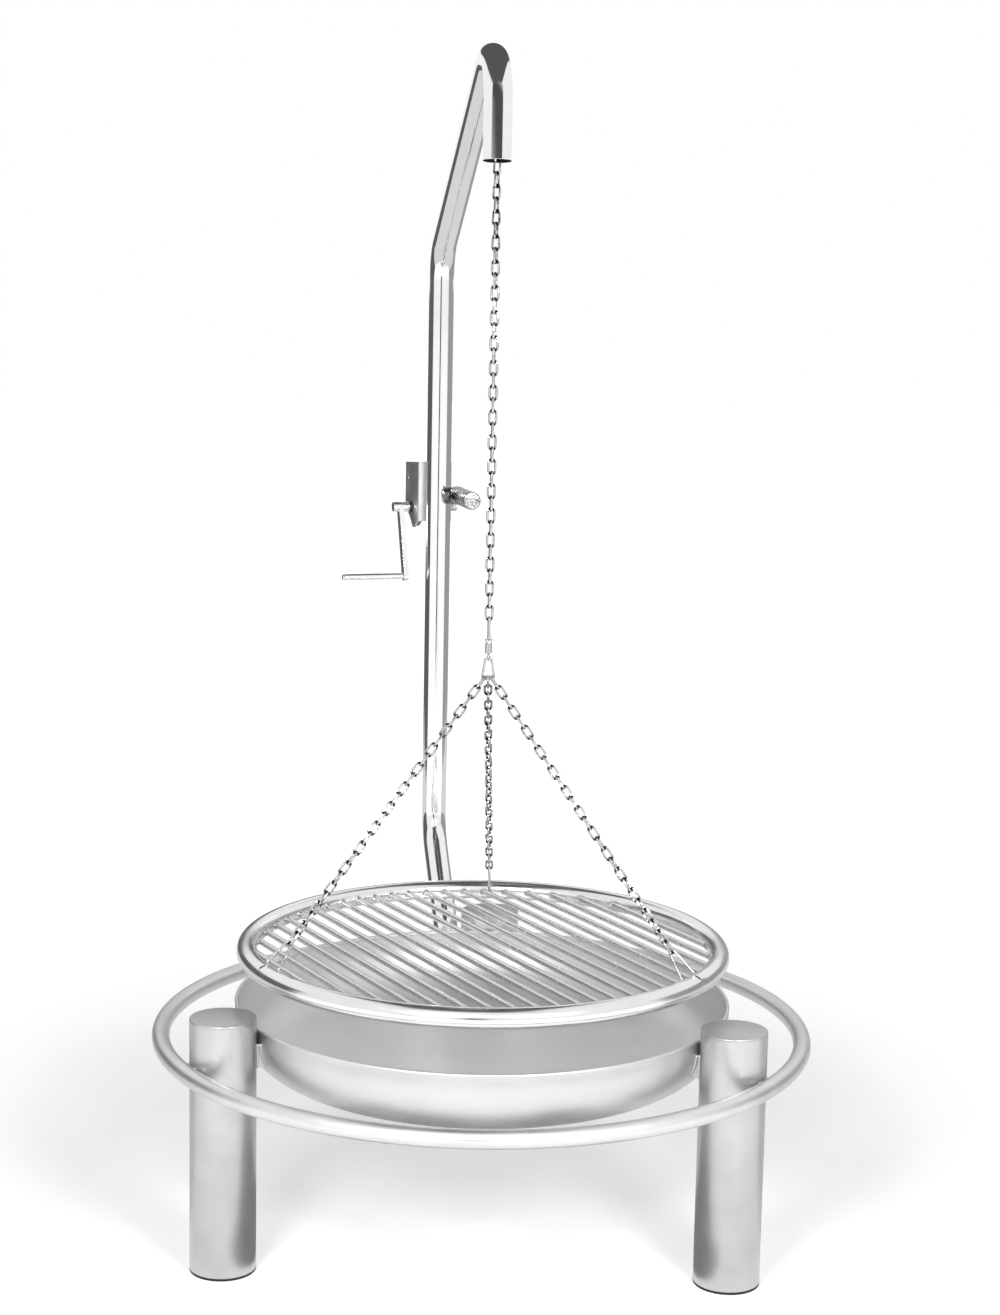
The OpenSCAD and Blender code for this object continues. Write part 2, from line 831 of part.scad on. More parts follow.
module ratchet_wheel() {
    color(bright_steel)
        on_winch()
            difference() {
                translate([shaft_x, ratchet_y + ratchet_t - seat_gap, shaft_z])
                    rotate([90, 0, 0])
                        linear_extrude(ratchet_t - 2 * seat_gap)
                            polygon(ratchet_points());
                cross_rod(shaft_x, shaft_z, shaft_d + 2 * key_play, -bracket_w, bracket_w);
            }
}

// One turn of chain on the drum, in the lane beside the one that feeds the mast
module wound_chain() {
    color(bright_steel)
        on_winch()
            for (i = [0:wrap_links - 1])
                translate([shaft_x, wrap_lane_y, shaft_z])
                    rotate([0, wrap_step * (i + 1), 0])
                        translate([wrap_r - wrap_sink * (i % 2), 0, 0])
                            rotate([0, 0, 90 * (i % 2)])
                                chain_link();
}

// The mast's chain is laid down from its mouth in an even number of steps, and the feeding chain
// goes on below it
laid_pitch = chain_pitch - bend_slack;
feed_end_z = shaft_z + feed_rise + 30;
upright_l = line_l([mast_line[0], mast_line[1], mast_line[2], mast_line[3]], mast_bends);
mast_chain_to = line_l(mast_line, mast_bends) - (hang_upper_z - mouth_z) - chain_pitch;
mast_steps = 2 * floor((mast_chain_to - upright_l + elbow_z - feed_end_z) / (2 * laid_pitch));
mast_low_z = elbow_z - upright_l + mast_chain_to - mast_steps * laid_pitch;
feed_to = line_l(feed_line, feed_bends) + mast_low_z - laid_pitch - feed_end_z;

module feed_chain() {
    color(bright_steel)
        on_winch()
            laid_links(feed_line, feed_bends, feed_to, floor(feed_to / laid_pitch));
}

module mast_chain() {
    color(bright_steel)
        on_mast()
            laid_links(mast_line, mast_bends, mast_chain_to, mast_steps, 1);
}

module on_hang_line() {
    centred()
        children();
}

module hang_link_upper() {
    color(bright_steel)
        on_hang_line()
            rotate([0, 0, arm_angle])
                translate([0, 0, hang_upper_z])
                    chain_link();
}

module hang_link_lower() {
    color(bright_steel)
        on_hang_line()
            rotate([0, 0, arm_angle + 90])
                translate([0, 0, hang_lower_z])
                    chain_link();
}

module main_chain() {
    color(bright_steel)
        on_hang_line()
            rotate([0, 0, arm_angle])
                hanging_links(main_top_z, main_links);
}

// The wire of the upper hook lies across the last link of the chain
module on_upper_hook() {
    on_hang_line()
        rotate([0, 0, arm_angle + 90 * (main_links % 2)])
            translate([0, 0, (upper_hook_top_z + upper_hook_low_z) / 2])
                children();
}

gate_from = -4;
gate_to = 8;
gate_play = 0.3;
lower_gate_l = 16;

module upper_hook() {
    color(bright_steel)
        on_upper_hook()
            difference() {
                oval_loop(upper_hook_h, upper_hook_w, hook_wire_d);
                translate([0, -hook_wire_d, gate_from])
                    cube([upper_hook_w, 2 * hook_wire_d, gate_to - gate_from]);
            }
}

module upper_hook_gate() {
    color(bright_steel)
        on_upper_hook()
            translate([upper_hook_w / 2, 0, gate_from + gate_play])
                gate_rod(gate_to - gate_from - 2 * gate_play, hook_wire_d - 0.6);
}

// Straight rod whose lower end is round, so that it can turn about that end
module gate_rod(length, d) {
    rotate_extrude($fn = 48)
        polygon(concat([[0, 0]], arc_points([0, d / 2], d / 2, -80, 0, 8), [[d / 2, length], [0, length]]));
}

// The eye lies across the hook that holds it
module swivel_barrel() {
    color(bright_steel)
        on_hang_line()
            rotate([0, 0, arm_angle + 90 * ((main_links + 1) % 2)]) {
                translate([0, 0, top_eye_z])
                    rotate([90, 0, 0])
                        torus(eye_r, eye_wire_d);
                difference() {
                    translate([0, 0, barrel_low_z])
                        cylinder(h = barrel_h, d = barrel_d);
                    translate([0, 0, barrel_low_z - cut])
                        cylinder(h = barrel_h, d = stem_d + 2 * shaft_play);
                    translate([0, 0, barrel_low_z + 3])
                        cylinder(h = barrel_h - 6, d = stem_head_d + 0.8);
                }
            }
}

module swivel_eye() {
    color(bright_steel)
        on_hang_line()
            rotate([0, 0, 90]) {
                translate([0, 0, low_eye_z])
                    rotate([90, 0, 0])
                        torus(eye_r, eye_wire_d);
                translate([0, 0, low_eye_z + eye_r])
                    cylinder(h = barrel_low_z + 3.3 - low_eye_z - eye_r, d = stem_d);
                translate([0, 0, barrel_low_z + 3.3])
                    cylinder(h = stem_head_h, d = stem_head_d);
            }
}

// The line closes with a short overlap of its two ends
lower_hook_line = [
    [-collar_l, lower_hook_top_z], [lower_hook_top_w / 2, lower_hook_top_z],
    [lower_hook_low_w / 2, apex_z], [-lower_hook_low_w / 2, apex_z],
    [-lower_hook_top_w / 2, lower_hook_top_z], [collar_l, lower_hook_top_z]
];
lower_hook_bends = [0, 3, 3, 3, 3, 0];

// Tapered wire loop, open on its right side where the gate closes it
module lower_hook() {
    color(bright_steel)
        on_hang_line()
            difference() {
                bent_rod(lower_hook_line, lower_hook_bends, hook_wire_d, $fn = 32);
                on_lower_gate()
                    cylinder(h = lower_gate_l, d = hook_wire_d + 1);
            }
}

// The straight stretch of the hook's right side that the gate fills, seen from its lower end
module on_lower_gate() {
    from = along(lower_hook_line, lower_hook_bends, 8 + lower_gate_l);
    translate([from[0], 0, from[1]])
        rotate([0, -90 - from[2], 0])
            children();
}

module lower_hook_gate() {
    color(bright_steel)
        on_hang_line()
            on_lower_gate()
                translate([0, 0, gate_play])
                    gate_rod(lower_gate_l - 2 * gate_play, hook_wire_d - 0.2);
}

// Frame along a leg chain: Z points from the hook's bar to the grate ring
function chain_start(i) = [chain_step_x * [-1, 1, 0][i], 0, apex_z];
function chain_end(i) =
    [hang_circle_r * cos(leg_angles[i]), hang_circle_r * sin(leg_angles[i]), grate_z];
function chain_span(i) = norm(chain_end(i) - chain_start(i));
// A link that leans along the hook's bar sits a little lower on it
function bar_slant(i) = norm([chain_end(i)[1], chain_end(i)[2] - apex_z]) / chain_span(i);
function hook_seat(i) = link_seat - hook_wire_d / 2 * (1 / bar_slant(i) - 1);
function links_l(i) = chain_span(i) - hook_seat(i) - link_seat - stirrup_seat - stirrup_tip_r;
function leg_links(i) = floor((links_l(i) - stirrup_l_least) / chain_pitch) + 1;
function stirrup_l(i) = links_l(i) - (leg_links(i) - 1) * chain_pitch;
function leg_heading(i) =
    let (way = chain_end(i) - chain_start(i)) atan2(way[1], way[0]);
function leg_lean(i) =
    let (way = chain_end(i) - chain_start(i)) 180 - atan2(norm([way[0], way[1]]), -way[2]);
// Turn spread over the links of a leg chain, so that its first link sits square on the hook's bar
function chain_twist(i) =
    let (
        square = atan2(-sin(leg_heading(i)), cos(leg_heading(i)) * cos(leg_lean(i))) - 90,
        turn = square - 90 * (leg_links(i) % 2)
    )
    turn - 180 * round(turn / 180);

module on_leg_chain(i) {
    centred()
        translate(chain_start(i))
            rotate([0, 0, leg_heading(i)])
                rotate([0, leg_lean(i), 0])
                    children();
}

module leg_chain(i) {
    last = leg_links(i) - 1;
    color(bright_steel)
        on_leg_chain(i)
            for (k = [0:last])
                translate([0, 0, hook_seat(i) + k * chain_pitch])
                    rotate([0, 0, 90 * ((k + last + 1) % 2) + chain_twist(i) * (last - k) / last])
                        chain_link();
}

// Pear-shaped wire loop from the last link into the ring's slots
function stirrup_line(length) =
    let (
        lean = asin((stirrup_turn_r - stirrup_tip_r) / length),
        tip_x = stirrup_tip_r * tan(45 - lean / 2) + stirrup_flat,
        turn_x = stirrup_turn_r * tan(45 + lean / 2) + stirrup_flat,
        tip_z = -length - stirrup_tip_r
    )
    [
        [0, tip_z], [tip_x, tip_z], [turn_x, stirrup_turn_r],
        [-turn_x, stirrup_turn_r], [-tip_x, tip_z], [0, tip_z]
    ];

module chain_stirrups() {
    bends = [0, stirrup_tip_r, stirrup_turn_r, stirrup_turn_r, stirrup_tip_r, 0];
    color(bright_steel)
        for (i = [0:2])
            on_leg_chain(i)
                translate([0, 0, chain_span(i) - stirrup_seat])
                    bent_rod(stirrup_line(stirrup_l(i)), bends, stirrup_wire_d, $fn = 32);
}

module grate_ring() {
    color(bright_steel)
        difference() {
            centred()
                translate([0, 0, grate_z])
                    difference() {
                        torus(hang_circle_r, grate_tube_d);
                        torus(hang_circle_r, grate_tube_d - 2 * grate_wall);
                    }
            for (i = [0:2])
                on_leg_chain(i)
                    translate([0, 0, chain_span(i)])
                        ring_slots();
        }
}

// The two slots beside the bridge, in the frame of the chain that hangs on it
module ring_slots() {
    w = stirrup_wire_d + 2 * slot_play;
    reach = grate_tube_d / 2 + cut;
    deep = reach - bridge_w / 2;
    translate([-reach, -w / 2, -reach])
        cube([deep, w, reach - outer_slot_low]);
    translate([bridge_w / 2, -w / 2, -reach])
        cube([deep, w, reach - inner_slot_low]);
}

module grate_bars() {
    color(bright_steel)
        centred()
            translate([0, 0, grate_z])
                rotate([0, 0, bar_turn])
                    difference() {
                        for (i = [0:bar_count - 1]) {
                            side = (i - (bar_count - 1) / 2) * bar_pitch + bar_shift;
                            near = abs(side) - bar_d / 2;
                            half = sqrt(pow(grate_inner_r + 3, 2) - pow(near, 2));
                            translate([-half, side, 0])
                                rotate([0, 90, 0])
                                    cylinder(h = 2 * half, d = bar_d);
                        }
                        torus(hang_circle_r, grate_tube_d);
                    }
}

// The grip's pin stands out of the crank arm's lower end
module on_crank() {
    on_winch()
        translate([shaft_x, 0, shaft_z])
            rotate([0, -crank_lean, 0])
                children();
}

crank_y = -bracket_w / 2 - hub_reach;

module crank_hub() {
    color(bright_steel)
        on_winch()
            difference() {
                union() {
                    cross_rod(shaft_x, shaft_z, hub_d, crank_y, -bracket_w / 2 - 0.5);
                    cross_rod(shaft_x, shaft_z, hub_d, crank_y - crank_t - 10, crank_y - crank_t);
                }
                cross_rod(shaft_x, shaft_z, shaft_d + 2 * key_play,
                    crank_y - crank_t - 8.5, bracket_w / 2);
            }
}

module crank_arm() {
    color(bright_steel)
        on_crank()
            translate([0, crank_y, 0])
                rotate([90, 0, 0])
                    difference() {
                        union() {
                            cylinder(h = crank_t, d = hub_d);
                            translate([-crank_w / 2 + 1, -crank_l, 0])
                                cube([crank_w - 2, crank_l, crank_t]);
                            translate([0, -crank_l, 0])
                                cylinder(h = crank_t, d = crank_w - 2);
                        }
                        translate([0, 0, -cut])
                            cylinder(h = crank_t + 2 * cut, d = shaft_d + 2 * key_play);
                        translate([0, -crank_l, -cut])
                            cylinder(h = crank_t + 2 * cut, d = grip_pin_d);
                    }
}

module shaft_nut() {
    color(bright_steel)
        on_winch()
            difference() {
                cross_rod(shaft_x, shaft_z, hub_d - 1, bracket_w / 2 + 0.5, bracket_w / 2 + 11);
                cross_rod(shaft_x, shaft_z, shaft_d + 2 * key_play, 0, bracket_w);
            }
}

module grip_pin() {
    color(bright_steel)
        on_crank()
            translate([0, crank_y, -crank_l])
                rotate([90, 0, 0]) {
                    cylinder(h = crank_t + grip_l + 1, d = grip_pin_d);
                    translate([0, 0, crank_t + grip_l + 1])
                        cylinder(h = 2, d = grip_d - 1);
                }
}

module crank_grip() {
    color(bright_steel)
        on_crank()
            translate([0, crank_y - crank_t - 0.5, -crank_l])
                rotate([90, 0, 0])
                    difference() {
                        cylinder(h = grip_l, d = grip_d);
                        translate([0, 0, -cut])
                            cylinder(h = grip_l + 2 * cut, d = grip_pin_d + 2 * shaft_play);
                    }
}

leg(0);  // leg_front_left
leg(1);  // leg_front_right
leg(2);  // leg_rear
leg_caps();
foot_discs();
foot_ring();
bowl();
bowl_plates();
socket_sleeve();
socket_floor();
thrust_disc();
mast_tube();
winch_bracket();
bracket_screws();
handle_lug();
swing_handle();
handle_screw();
shaft_bushes();
pawl_pin();
pawl();
pawl_knob();
winch_shaft();
chain_drum();
ratchet_wheel();
wound_chain();
crank_hub();
crank_arm();
shaft_nut();
grip_pin();
crank_grip();
feed_chain();
mast_chain();
hang_link_upper();
hang_link_lower();
main_chain();
upper_hook();
upper_hook_gate();
swivel_barrel();
swivel_eye();
lower_hook();
lower_hook_gate();
leg_chain(0);  // leg_chain_left
leg_chain(1);  // leg_chain_right
leg_chain(2);  // leg_chain_rear
chain_stirrups();
grate_ring();
grate_bars();
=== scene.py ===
import math

import bmesh
import bpy
import numpy as np
from mathutils import Matrix, Vector


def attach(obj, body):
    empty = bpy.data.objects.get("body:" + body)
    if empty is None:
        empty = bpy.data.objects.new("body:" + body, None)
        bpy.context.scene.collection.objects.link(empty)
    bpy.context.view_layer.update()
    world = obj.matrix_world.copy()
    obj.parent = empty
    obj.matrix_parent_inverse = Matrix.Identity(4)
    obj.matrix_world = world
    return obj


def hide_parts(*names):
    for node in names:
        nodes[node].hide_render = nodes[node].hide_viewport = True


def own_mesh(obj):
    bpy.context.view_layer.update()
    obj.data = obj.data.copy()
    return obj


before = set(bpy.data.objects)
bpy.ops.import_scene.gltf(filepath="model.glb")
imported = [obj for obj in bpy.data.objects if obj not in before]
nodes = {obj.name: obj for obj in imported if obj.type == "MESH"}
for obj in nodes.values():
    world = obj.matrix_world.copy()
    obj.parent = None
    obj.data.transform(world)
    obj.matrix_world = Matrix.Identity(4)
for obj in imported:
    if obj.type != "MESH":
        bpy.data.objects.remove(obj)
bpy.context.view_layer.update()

# Camera.
# It stands in front of the grill at a seated person's eye height and looks slightly down.
# Place, lens and tilt come from the legs, rims and rings of the photograph taken together.
LENS_MM = 64.613
EYE = (0.08734, -3.77714, 1.48273)
LOOK_AROUND = math.radians(91.081)
LOOK_DOWN = math.radians(8.655)
LEAN = math.radians(1.071)
ahead = Vector((
    math.cos(LOOK_AROUND) * math.cos(LOOK_DOWN),
    math.sin(LOOK_AROUND) * math.cos(LOOK_DOWN),
    -math.sin(LOOK_DOWN),
))
right = Vector((math.sin(LOOK_AROUND), -math.cos(LOOK_AROUND), 0))
above = right.cross(ahead)
camera = bpy.data.objects.new("camera", bpy.data.cameras.new("camera"))
bpy.context.scene.collection.objects.link(camera)
camera.data.sensor_width = 36
camera.data.lens = LENS_MM
camera.data.clip_end = 200
camera.matrix_world = Matrix.Translation(EYE) @ Matrix((
    math.cos(LEAN) * right + math.sin(LEAN) * above,
    math.cos(LEAN) * above - math.sin(LEAN) * right,
    -ahead,
)).transposed().to_4x4()
bpy.context.scene.camera = camera
bpy.context.scene.view_settings.view_transform = "Standard"


# Studio.
# A white room: the world shows white to the camera and to metal, and lights softly.
# Two broad lamps stand in front on the left and right, above the camera, and grey cards stand
# and lie round the grill for its bare metal to mirror. Lengths are in metres.
def wire(tree, source, output, target, socket):
    tree.links.new(source.outputs[output], target.inputs[socket])


def seen_or_mirrored(tree):
    """1 for rays from the camera, a mirror or glass, and 0 for others."""
    path = tree.nodes.new("ShaderNodeLightPath")
    first = tree.nodes.new("ShaderNodeMath")
    first.operation = "MAXIMUM"
    wire(tree, path, "Is Camera Ray", first, 0)
    wire(tree, path, "Is Glossy Ray", first, 1)
    both = tree.nodes.new("ShaderNodeMath")
    both.operation = "MAXIMUM"
    wire(tree, first, 0, both, 0)
    wire(tree, path, "Is Transmission Ray", both, 1)
    return both


WHITE = 1.0
ROOM_LIGHT = 0.28
FLOOR_LIFT_NEAR = 0.42
FLOOR_LIFT_FAR = 0.90
FLOOR_NEAR = 0.7
FLOOR_FAR = 2.6
world = bpy.data.worlds.new("white_room")
world.use_nodes = True
bpy.context.scene.world = world
tree = world.node_tree
share = tree.nodes.new("ShaderNodeMapRange")
share.inputs["To Min"].default_value = ROOM_LIGHT
share.inputs["To Max"].default_value = WHITE
wire(tree, seen_or_mirrored(tree), 0, share, "Value")
wire(tree, share, 0, tree.nodes["Background"], "Strength")
tree.nodes["Background"].inputs["Color"].default_value = (1, 1, 1, 1)

floor_paint = bpy.data.materials.new("floor_paint")
floor_paint.use_nodes = True
tree = floor_paint.node_tree
paint = tree.nodes["Principled BSDF"]
paint.inputs["Base Color"].default_value = (0.9, 0.9, 0.9, 1)
paint.inputs["Roughness"].default_value = 1
paint.inputs["Specular IOR Level"].default_value = 0
paint.inputs["Emission Color"].default_value = (1, 1, 1, 1)
place = tree.nodes.new("ShaderNodeTexCoord")
away = tree.nodes.new("ShaderNodeVectorMath")
away.operation = "LENGTH"
wire(tree, place, "Object", away, 0)
fade = tree.nodes.new("ShaderNodeMapRange")
fade.inputs["From Min"].default_value = FLOOR_NEAR
fade.inputs["From Max"].default_value = FLOOR_FAR
fade.inputs["To Min"].default_value = FLOOR_LIFT_NEAR
fade.inputs["To Max"].default_value = FLOOR_LIFT_FAR
wire(tree, away, "Value", fade, "Value")
lift = tree.nodes.new("ShaderNodeMath")
lift.operation = "MULTIPLY"
wire(tree, fade, 0, lift, 1)
wire(tree, seen_or_mirrored(tree), 0, lift, 0)
wire(tree, lift, 0, paint, "Emission Strength")


def panel(name, corners, material):
    """A flat four-sided sheet of the studio, which isn't part of the grill."""
    mesh = bpy.data.meshes.new(name)
    mesh.from_pydata(corners, [], [(0, 1, 2, 3)])
    mesh.materials.append(material)
    made = bpy.data.objects.new(name, mesh)
    bpy.context.scene.collection.objects.link(made)
    return made


panel("floor", [(-30, -30, 0), (30, -30, 0), (30, 30, 0), (-30, 30, 0)], floor_paint)


def lamp(name, place, aim, size, watts):
    """A square soft lamp at place that points at aim."""
    light = bpy.data.lights.new(name, "AREA")
    light.size = size
    light.energy = watts
    made = bpy.data.objects.new(name, light)
    bpy.context.scene.collection.objects.link(made)
    made.location = place
    made.rotation_euler = (Vector(aim) - Vector(place)).to_track_quat("-Z", "Y").to_euler()


LAMP_SIZE = 0.7
LAMP_WATTS = 46
lamp("lamp_left", (-0.90, -2.95, 2.15), (-0.2, 0, 0.5), LAMP_SIZE, LAMP_WATTS)
lamp("lamp_right", (1.35, -2.80, 2.15), (0.2, 0, 0.5), LAMP_SIZE, LAMP_WATTS)


def flag(name, grey, corners, blocks=False, soft=0.02):
    """A grey card that only bare metal mirrors, as a photographer sets up to draw edges on it.
    One that blocks also keeps the lamps off what stands behind it. It is grey where the mean of
    its three Generated coordinates lies between soft and 1 - soft, and fades to the white of the
    room beyond, towards its lowest corner and the one across. A flat card's mean runs from 1/6
    to 5/6, so with a smaller soft it is grey all over."""
    card = bpy.data.materials.new(name)
    card.use_nodes = True
    tree = card.node_tree
    shade = tree.nodes["Principled BSDF"]
    shade.inputs["Base Color"].default_value = (0, 0, 0, 1)
    shade.inputs["Specular IOR Level"].default_value = 0
    shade.inputs["Emission Strength"].default_value = 1
    place = tree.nodes.new("ShaderNodeTexCoord")
    ramp = tree.nodes.new("ShaderNodeValToRGB")
    ramp.color_ramp.interpolation = "EASE"
    left, right = ramp.color_ramp.elements
    left.color = right.color = (1, 1, 1, 1)
    for at in (soft, 1 - soft):
        ramp.color_ramp.elements.new(at).color = (grey, grey, grey, 1)
    wire(tree, place, "Generated", ramp, "Fac")
    wire(tree, ramp, "Color", shade, "Emission Color")
    made = panel(name, corners, card)
    made.visible_camera = made.visible_diffuse = False
    made.visible_shadow = blocks
    made.visible_transmission = made.visible_volume_scatter = False


def standing(start, end, low, high):
    """Corners of an upright card between two places on the floor."""
    return [(*start, low), (*end, low), (*end, high), (*start, high)]


def lying(left, right, front, rear, height):
    """Corners of a level card."""
    return [(left, front, height), (right, front, height), (right, rear, height),
            (left, rear, height)]


REAR_Y = 3.5
flag("flag_camera", 0.03, standing((-0.66, -5.2), (0.30, -5.2), 0, 1.8))
flag("flag_hook", 0.08, standing((-0.70, -0.75), (0.52, -0.75), 1.68, 2.3), blocks=True, soft=0.42)
flag(
    "flag_hook_top", 0.10,
    [(-0.7, -0.75, 2.3), (0.4, -0.75, 2.3), (0.7, 1.8, 2.3), (-0.9, 1.8, 2.3)], soft=0.3)
# The two cards lying on the floor are painted shade for the metal to mirror: they stand for the
# floor's shade under and behind the bowl.
flag("flag_floor", 0.76, lying(-3.1, 3.1, -0.2, 3.4, 0.004))
flag("flag_bowl", 0.30, lying(-0.32, 0.32, -0.5, 0, 0.005), soft=0.3)
for side, x, grey in (("left", -3.2, 0.12), ("right", 3.2, 0.36)):
    flag("flag_" + side, grey, standing((x, -0.4), (x, REAR_Y), 0, 1.7))
    flag("flag_rear_" + side, grey, standing((x, REAR_Y), (0, REAR_Y), 0, 1.5))


# Foot discs.
# Black rubber, as wide as the leg and 4 mm thick under it, with a plug that holds each disc
# in its tube. The lower edge is rounded a little.
BOWL_AXIS = (0.0, -116.054)
LEG_CIRCLE_R = 446.0
LEG_ANGLES = (210, 330, 90)
LEG_R = 50.8
FOOT_T = 4.0
PLUG_R = 48.4
PLUG_H = 14.0
PLUG_EDGE = 1.0
CLOUD_LOW = 0.3
CLOUD_HIGH = 0.7


def spot(angle, radius):
    """A place at a radius and angle about the upright axis of the bowl."""
    turn = math.radians(angle)
    return np.array([
        BOWL_AXIS[0] + radius * math.cos(turn), BOWL_AXIS[1] + radius * math.sin(turn)])


def arc(centre, radius, start, end, steps):
    """Points on a circle about centre between two angles in degrees."""
    turn = np.radians(np.linspace(start, end, steps + 1))
    return np.stack([centre[0] + radius * np.cos(turn), centre[1] + radius * np.sin(turn)], -1)


def revolved(profile, centre, steps):
    """Grid of a profile of (radius, height) carried round the upright axis through centre."""
    profile = np.asarray(profile, float)
    turn = np.linspace(0, 2 * math.pi, steps, endpoint=False)
    radius, height = profile[:, :1], profile[:, 1:]
    return np.stack([
        centre[0] + radius * np.cos(turn), centre[1] + radius * np.sin(turn),
        height + 0 * turn], -1)


def surfaced(name, tone, tone_spread, rough, rough_spread, cloud_mm, grain_mm, dent_mm,
             metallic=1.0):
    """A finish from two noises on the piece's own coordinates. Clouds of about cloud_mm vary
    its tone and roughness, and a grain of about grain_mm dents it by up to dent_mm."""
    made = bpy.data.materials.new(name)
    made.use_nodes = True
    tree = made.node_tree
    shade = tree.nodes["Principled BSDF"]
    shade.inputs["Metallic"].default_value = metallic
    place = tree.nodes.new("ShaderNodeTexCoord")
    cloud = tree.nodes.new("ShaderNodeTexNoise")
    cloud.inputs["Scale"].default_value = 1000 / cloud_mm
    cloud.inputs["Detail"].default_value = 4
    wire(tree, place, "Object", cloud, "Vector")
    ramp = tree.nodes.new("ShaderNodeValToRGB")
    low, high = ramp.color_ramp.elements
    low.position, high.position = CLOUD_LOW, CLOUD_HIGH
    low.color = (*[t - tone_spread for t in tone], 1)
    high.color = (*[t + tone_spread for t in tone], 1)
    wire(tree, cloud, "Fac", ramp, "Fac")
    wire(tree, ramp, "Color", shade, "Base Color")
    dull = tree.nodes.new("ShaderNodeMapRange")
    dull.inputs["From Min"].default_value = CLOUD_LOW
    dull.inputs["From Max"].default_value = CLOUD_HIGH
    dull.inputs["To Min"].default_value = rough - rough_spread
    dull.inputs["To Max"].default_value = rough + rough_spread
    wire(tree, cloud, "Fac", dull, "Value")
    wire(tree, dull, 0, shade, "Roughness")
    grain = tree.nodes.new("ShaderNodeTexNoise")
    grain.inputs["Scale"].default_value = 1000 / grain_mm
    grain.inputs["Detail"].default_value = 2
    wire(tree, place, "Object", grain, "Vector")
    dent = tree.nodes.new("ShaderNodeBump")
    dent.inputs["Strength"].default_value = 1
    dent.inputs["Distance"].default_value = dent_mm / 1000
    wire(tree, grain, "Fac", dent, "Height")
    wire(tree, dent, "Normal", shade, "Normal")
    return made


def finished(mesh, name, finish, body, stands_for):
    """Joins points that meet, turns faces outwards and keeps edges over 35 degrees crisp."""
    shape = bmesh.new()
    shape.from_mesh(mesh)
    bmesh.ops.remove_doubles(shape, verts=shape.verts, dist=2e-6)
    bmesh.ops.recalc_face_normals(shape, faces=shape.faces)
    shape.to_mesh(mesh)
    shape.free()
    mesh.polygons.foreach_set("use_smooth", np.ones(len(mesh.polygons), bool))
    mesh.set_sharp_from_angle(angle=math.radians(35))
    made = bpy.data.objects.new(name, mesh)
    bpy.context.scene.collection.objects.link(made)
    mesh.materials.append(finish)
    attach(made, body)
    if stands_for:
        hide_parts(*stands_for)
    return made


def piece(name, skins, finish, body, slot, *stands_for):
    """One object from grids of points in millimetres. Each skin is a grid, whether its last row
    joins its first, the same for its columns, and, for a sheet with holes, the faces to keep."""
    vertices, quads, first = [], [], 0
    for grid, rows_join, columns_join, *keep in skins:
        rows, columns = grid.shape[:2]
        i, j = np.meshgrid(
            np.arange(rows - (not rows_join)), np.arange(columns - (not columns_join)),
            indexing="ij")
        over, beyond = (i + 1) % rows, (j + 1) % columns
        corners = np.stack([
            i * columns + j, i * columns + beyond, over * columns + beyond, over * columns + j],
            -1)
        corners = corners[keep[0]] if keep else corners.reshape(-1, 4)
        quads.append(corners + first)
        vertices.append(grid.reshape(-1, 3) / 1000)
        first += rows * columns
    mesh = bpy.data.meshes.new(name)
    mesh.from_pydata(np.concatenate(vertices).tolist(), [], np.concatenate(quads).tolist())
    return finished(mesh, name, finish, body, stands_for)


rubber = surfaced("rubber", (0.022, 0.022, 0.022), 0.006, 0.72, 0.08, 9, 0.8, 0.05, metallic=0)
disc_profile = np.concatenate([
    [[0, 0]], arc((LEG_R - PLUG_EDGE, PLUG_EDGE), PLUG_EDGE, -90, 0, 4), [[LEG_R, FOOT_T]],
    [[PLUG_R, FOOT_T], [PLUG_R, FOOT_T + PLUG_H - PLUG_EDGE],
     [PLUG_R - PLUG_EDGE, FOOT_T + PLUG_H], [0, FOOT_T + PLUG_H]]])
piece(
    "foot_disc_rubber",
    [(revolved(disc_profile, spot(a, LEG_CIRCLE_R), 96), False, True) for a in LEG_ANGLES],
    rubber, "frame", "foot_rubber", "foot_discs")

# Legs.
# Three lengths of 101.6 mm stainless tube, bead-blasted to a fine satin. The upper edge is
# chamfered for the weld that joins the cap.
LEG_TOP_Z = 397.0
LEG_WALL = 2.0
LEG_EDGE_LOW = 0.4
LEG_EDGE_TOP = 0.5
blasted_steel = surfaced(
    "blasted_steel", (0.54, 0.54, 0.54), 0.04, 0.33, 0.03, 55, 0.8, 0.04)
leg_profile = np.array([
    [LEG_R - LEG_WALL, FOOT_T], [LEG_R - LEG_EDGE_LOW, FOOT_T], [LEG_R, FOOT_T + LEG_EDGE_LOW],
    [LEG_R, LEG_TOP_Z - LEG_EDGE_TOP], [LEG_R - LEG_EDGE_TOP, LEG_TOP_Z],
    [LEG_R - LEG_WALL, LEG_TOP_Z]])
for side, a, node in zip(("left", "right", "rear"), LEG_ANGLES, (
        "leg_front_left", "leg_front_right", "leg_rear")):
    piece(
        "leg_tube_" + side, [(revolved(leg_profile, spot(a, LEG_CIRCLE_R), 128), True, True)],
        blasted_steel, "frame", "satin_steel", node)

# Leg caps.
# Flat discs of 3 mm plate with a rounded edge, welded on and ground flush. The seam under
# each one is left as a fine groove.
CAP_TOP_Z = 400.0
CAP_EDGE_R = 1.8
CAP_GROOVE = 0.4
cap_profile = np.concatenate([
    [[0, LEG_TOP_Z], [LEG_R - CAP_GROOVE, LEG_TOP_Z], [LEG_R, LEG_TOP_Z + CAP_GROOVE]],
    arc((LEG_R - CAP_EDGE_R, CAP_TOP_Z - CAP_EDGE_R), CAP_EDGE_R, 0, 90, 8),
    [[0, CAP_TOP_Z]]])
piece(
    "leg_cap_discs",
    [(revolved(cap_profile, spot(a, LEG_CIRCLE_R), 128), False, True) for a in LEG_ANGLES],
    blasted_steel, "frame", "satin_steel", "leg_caps")

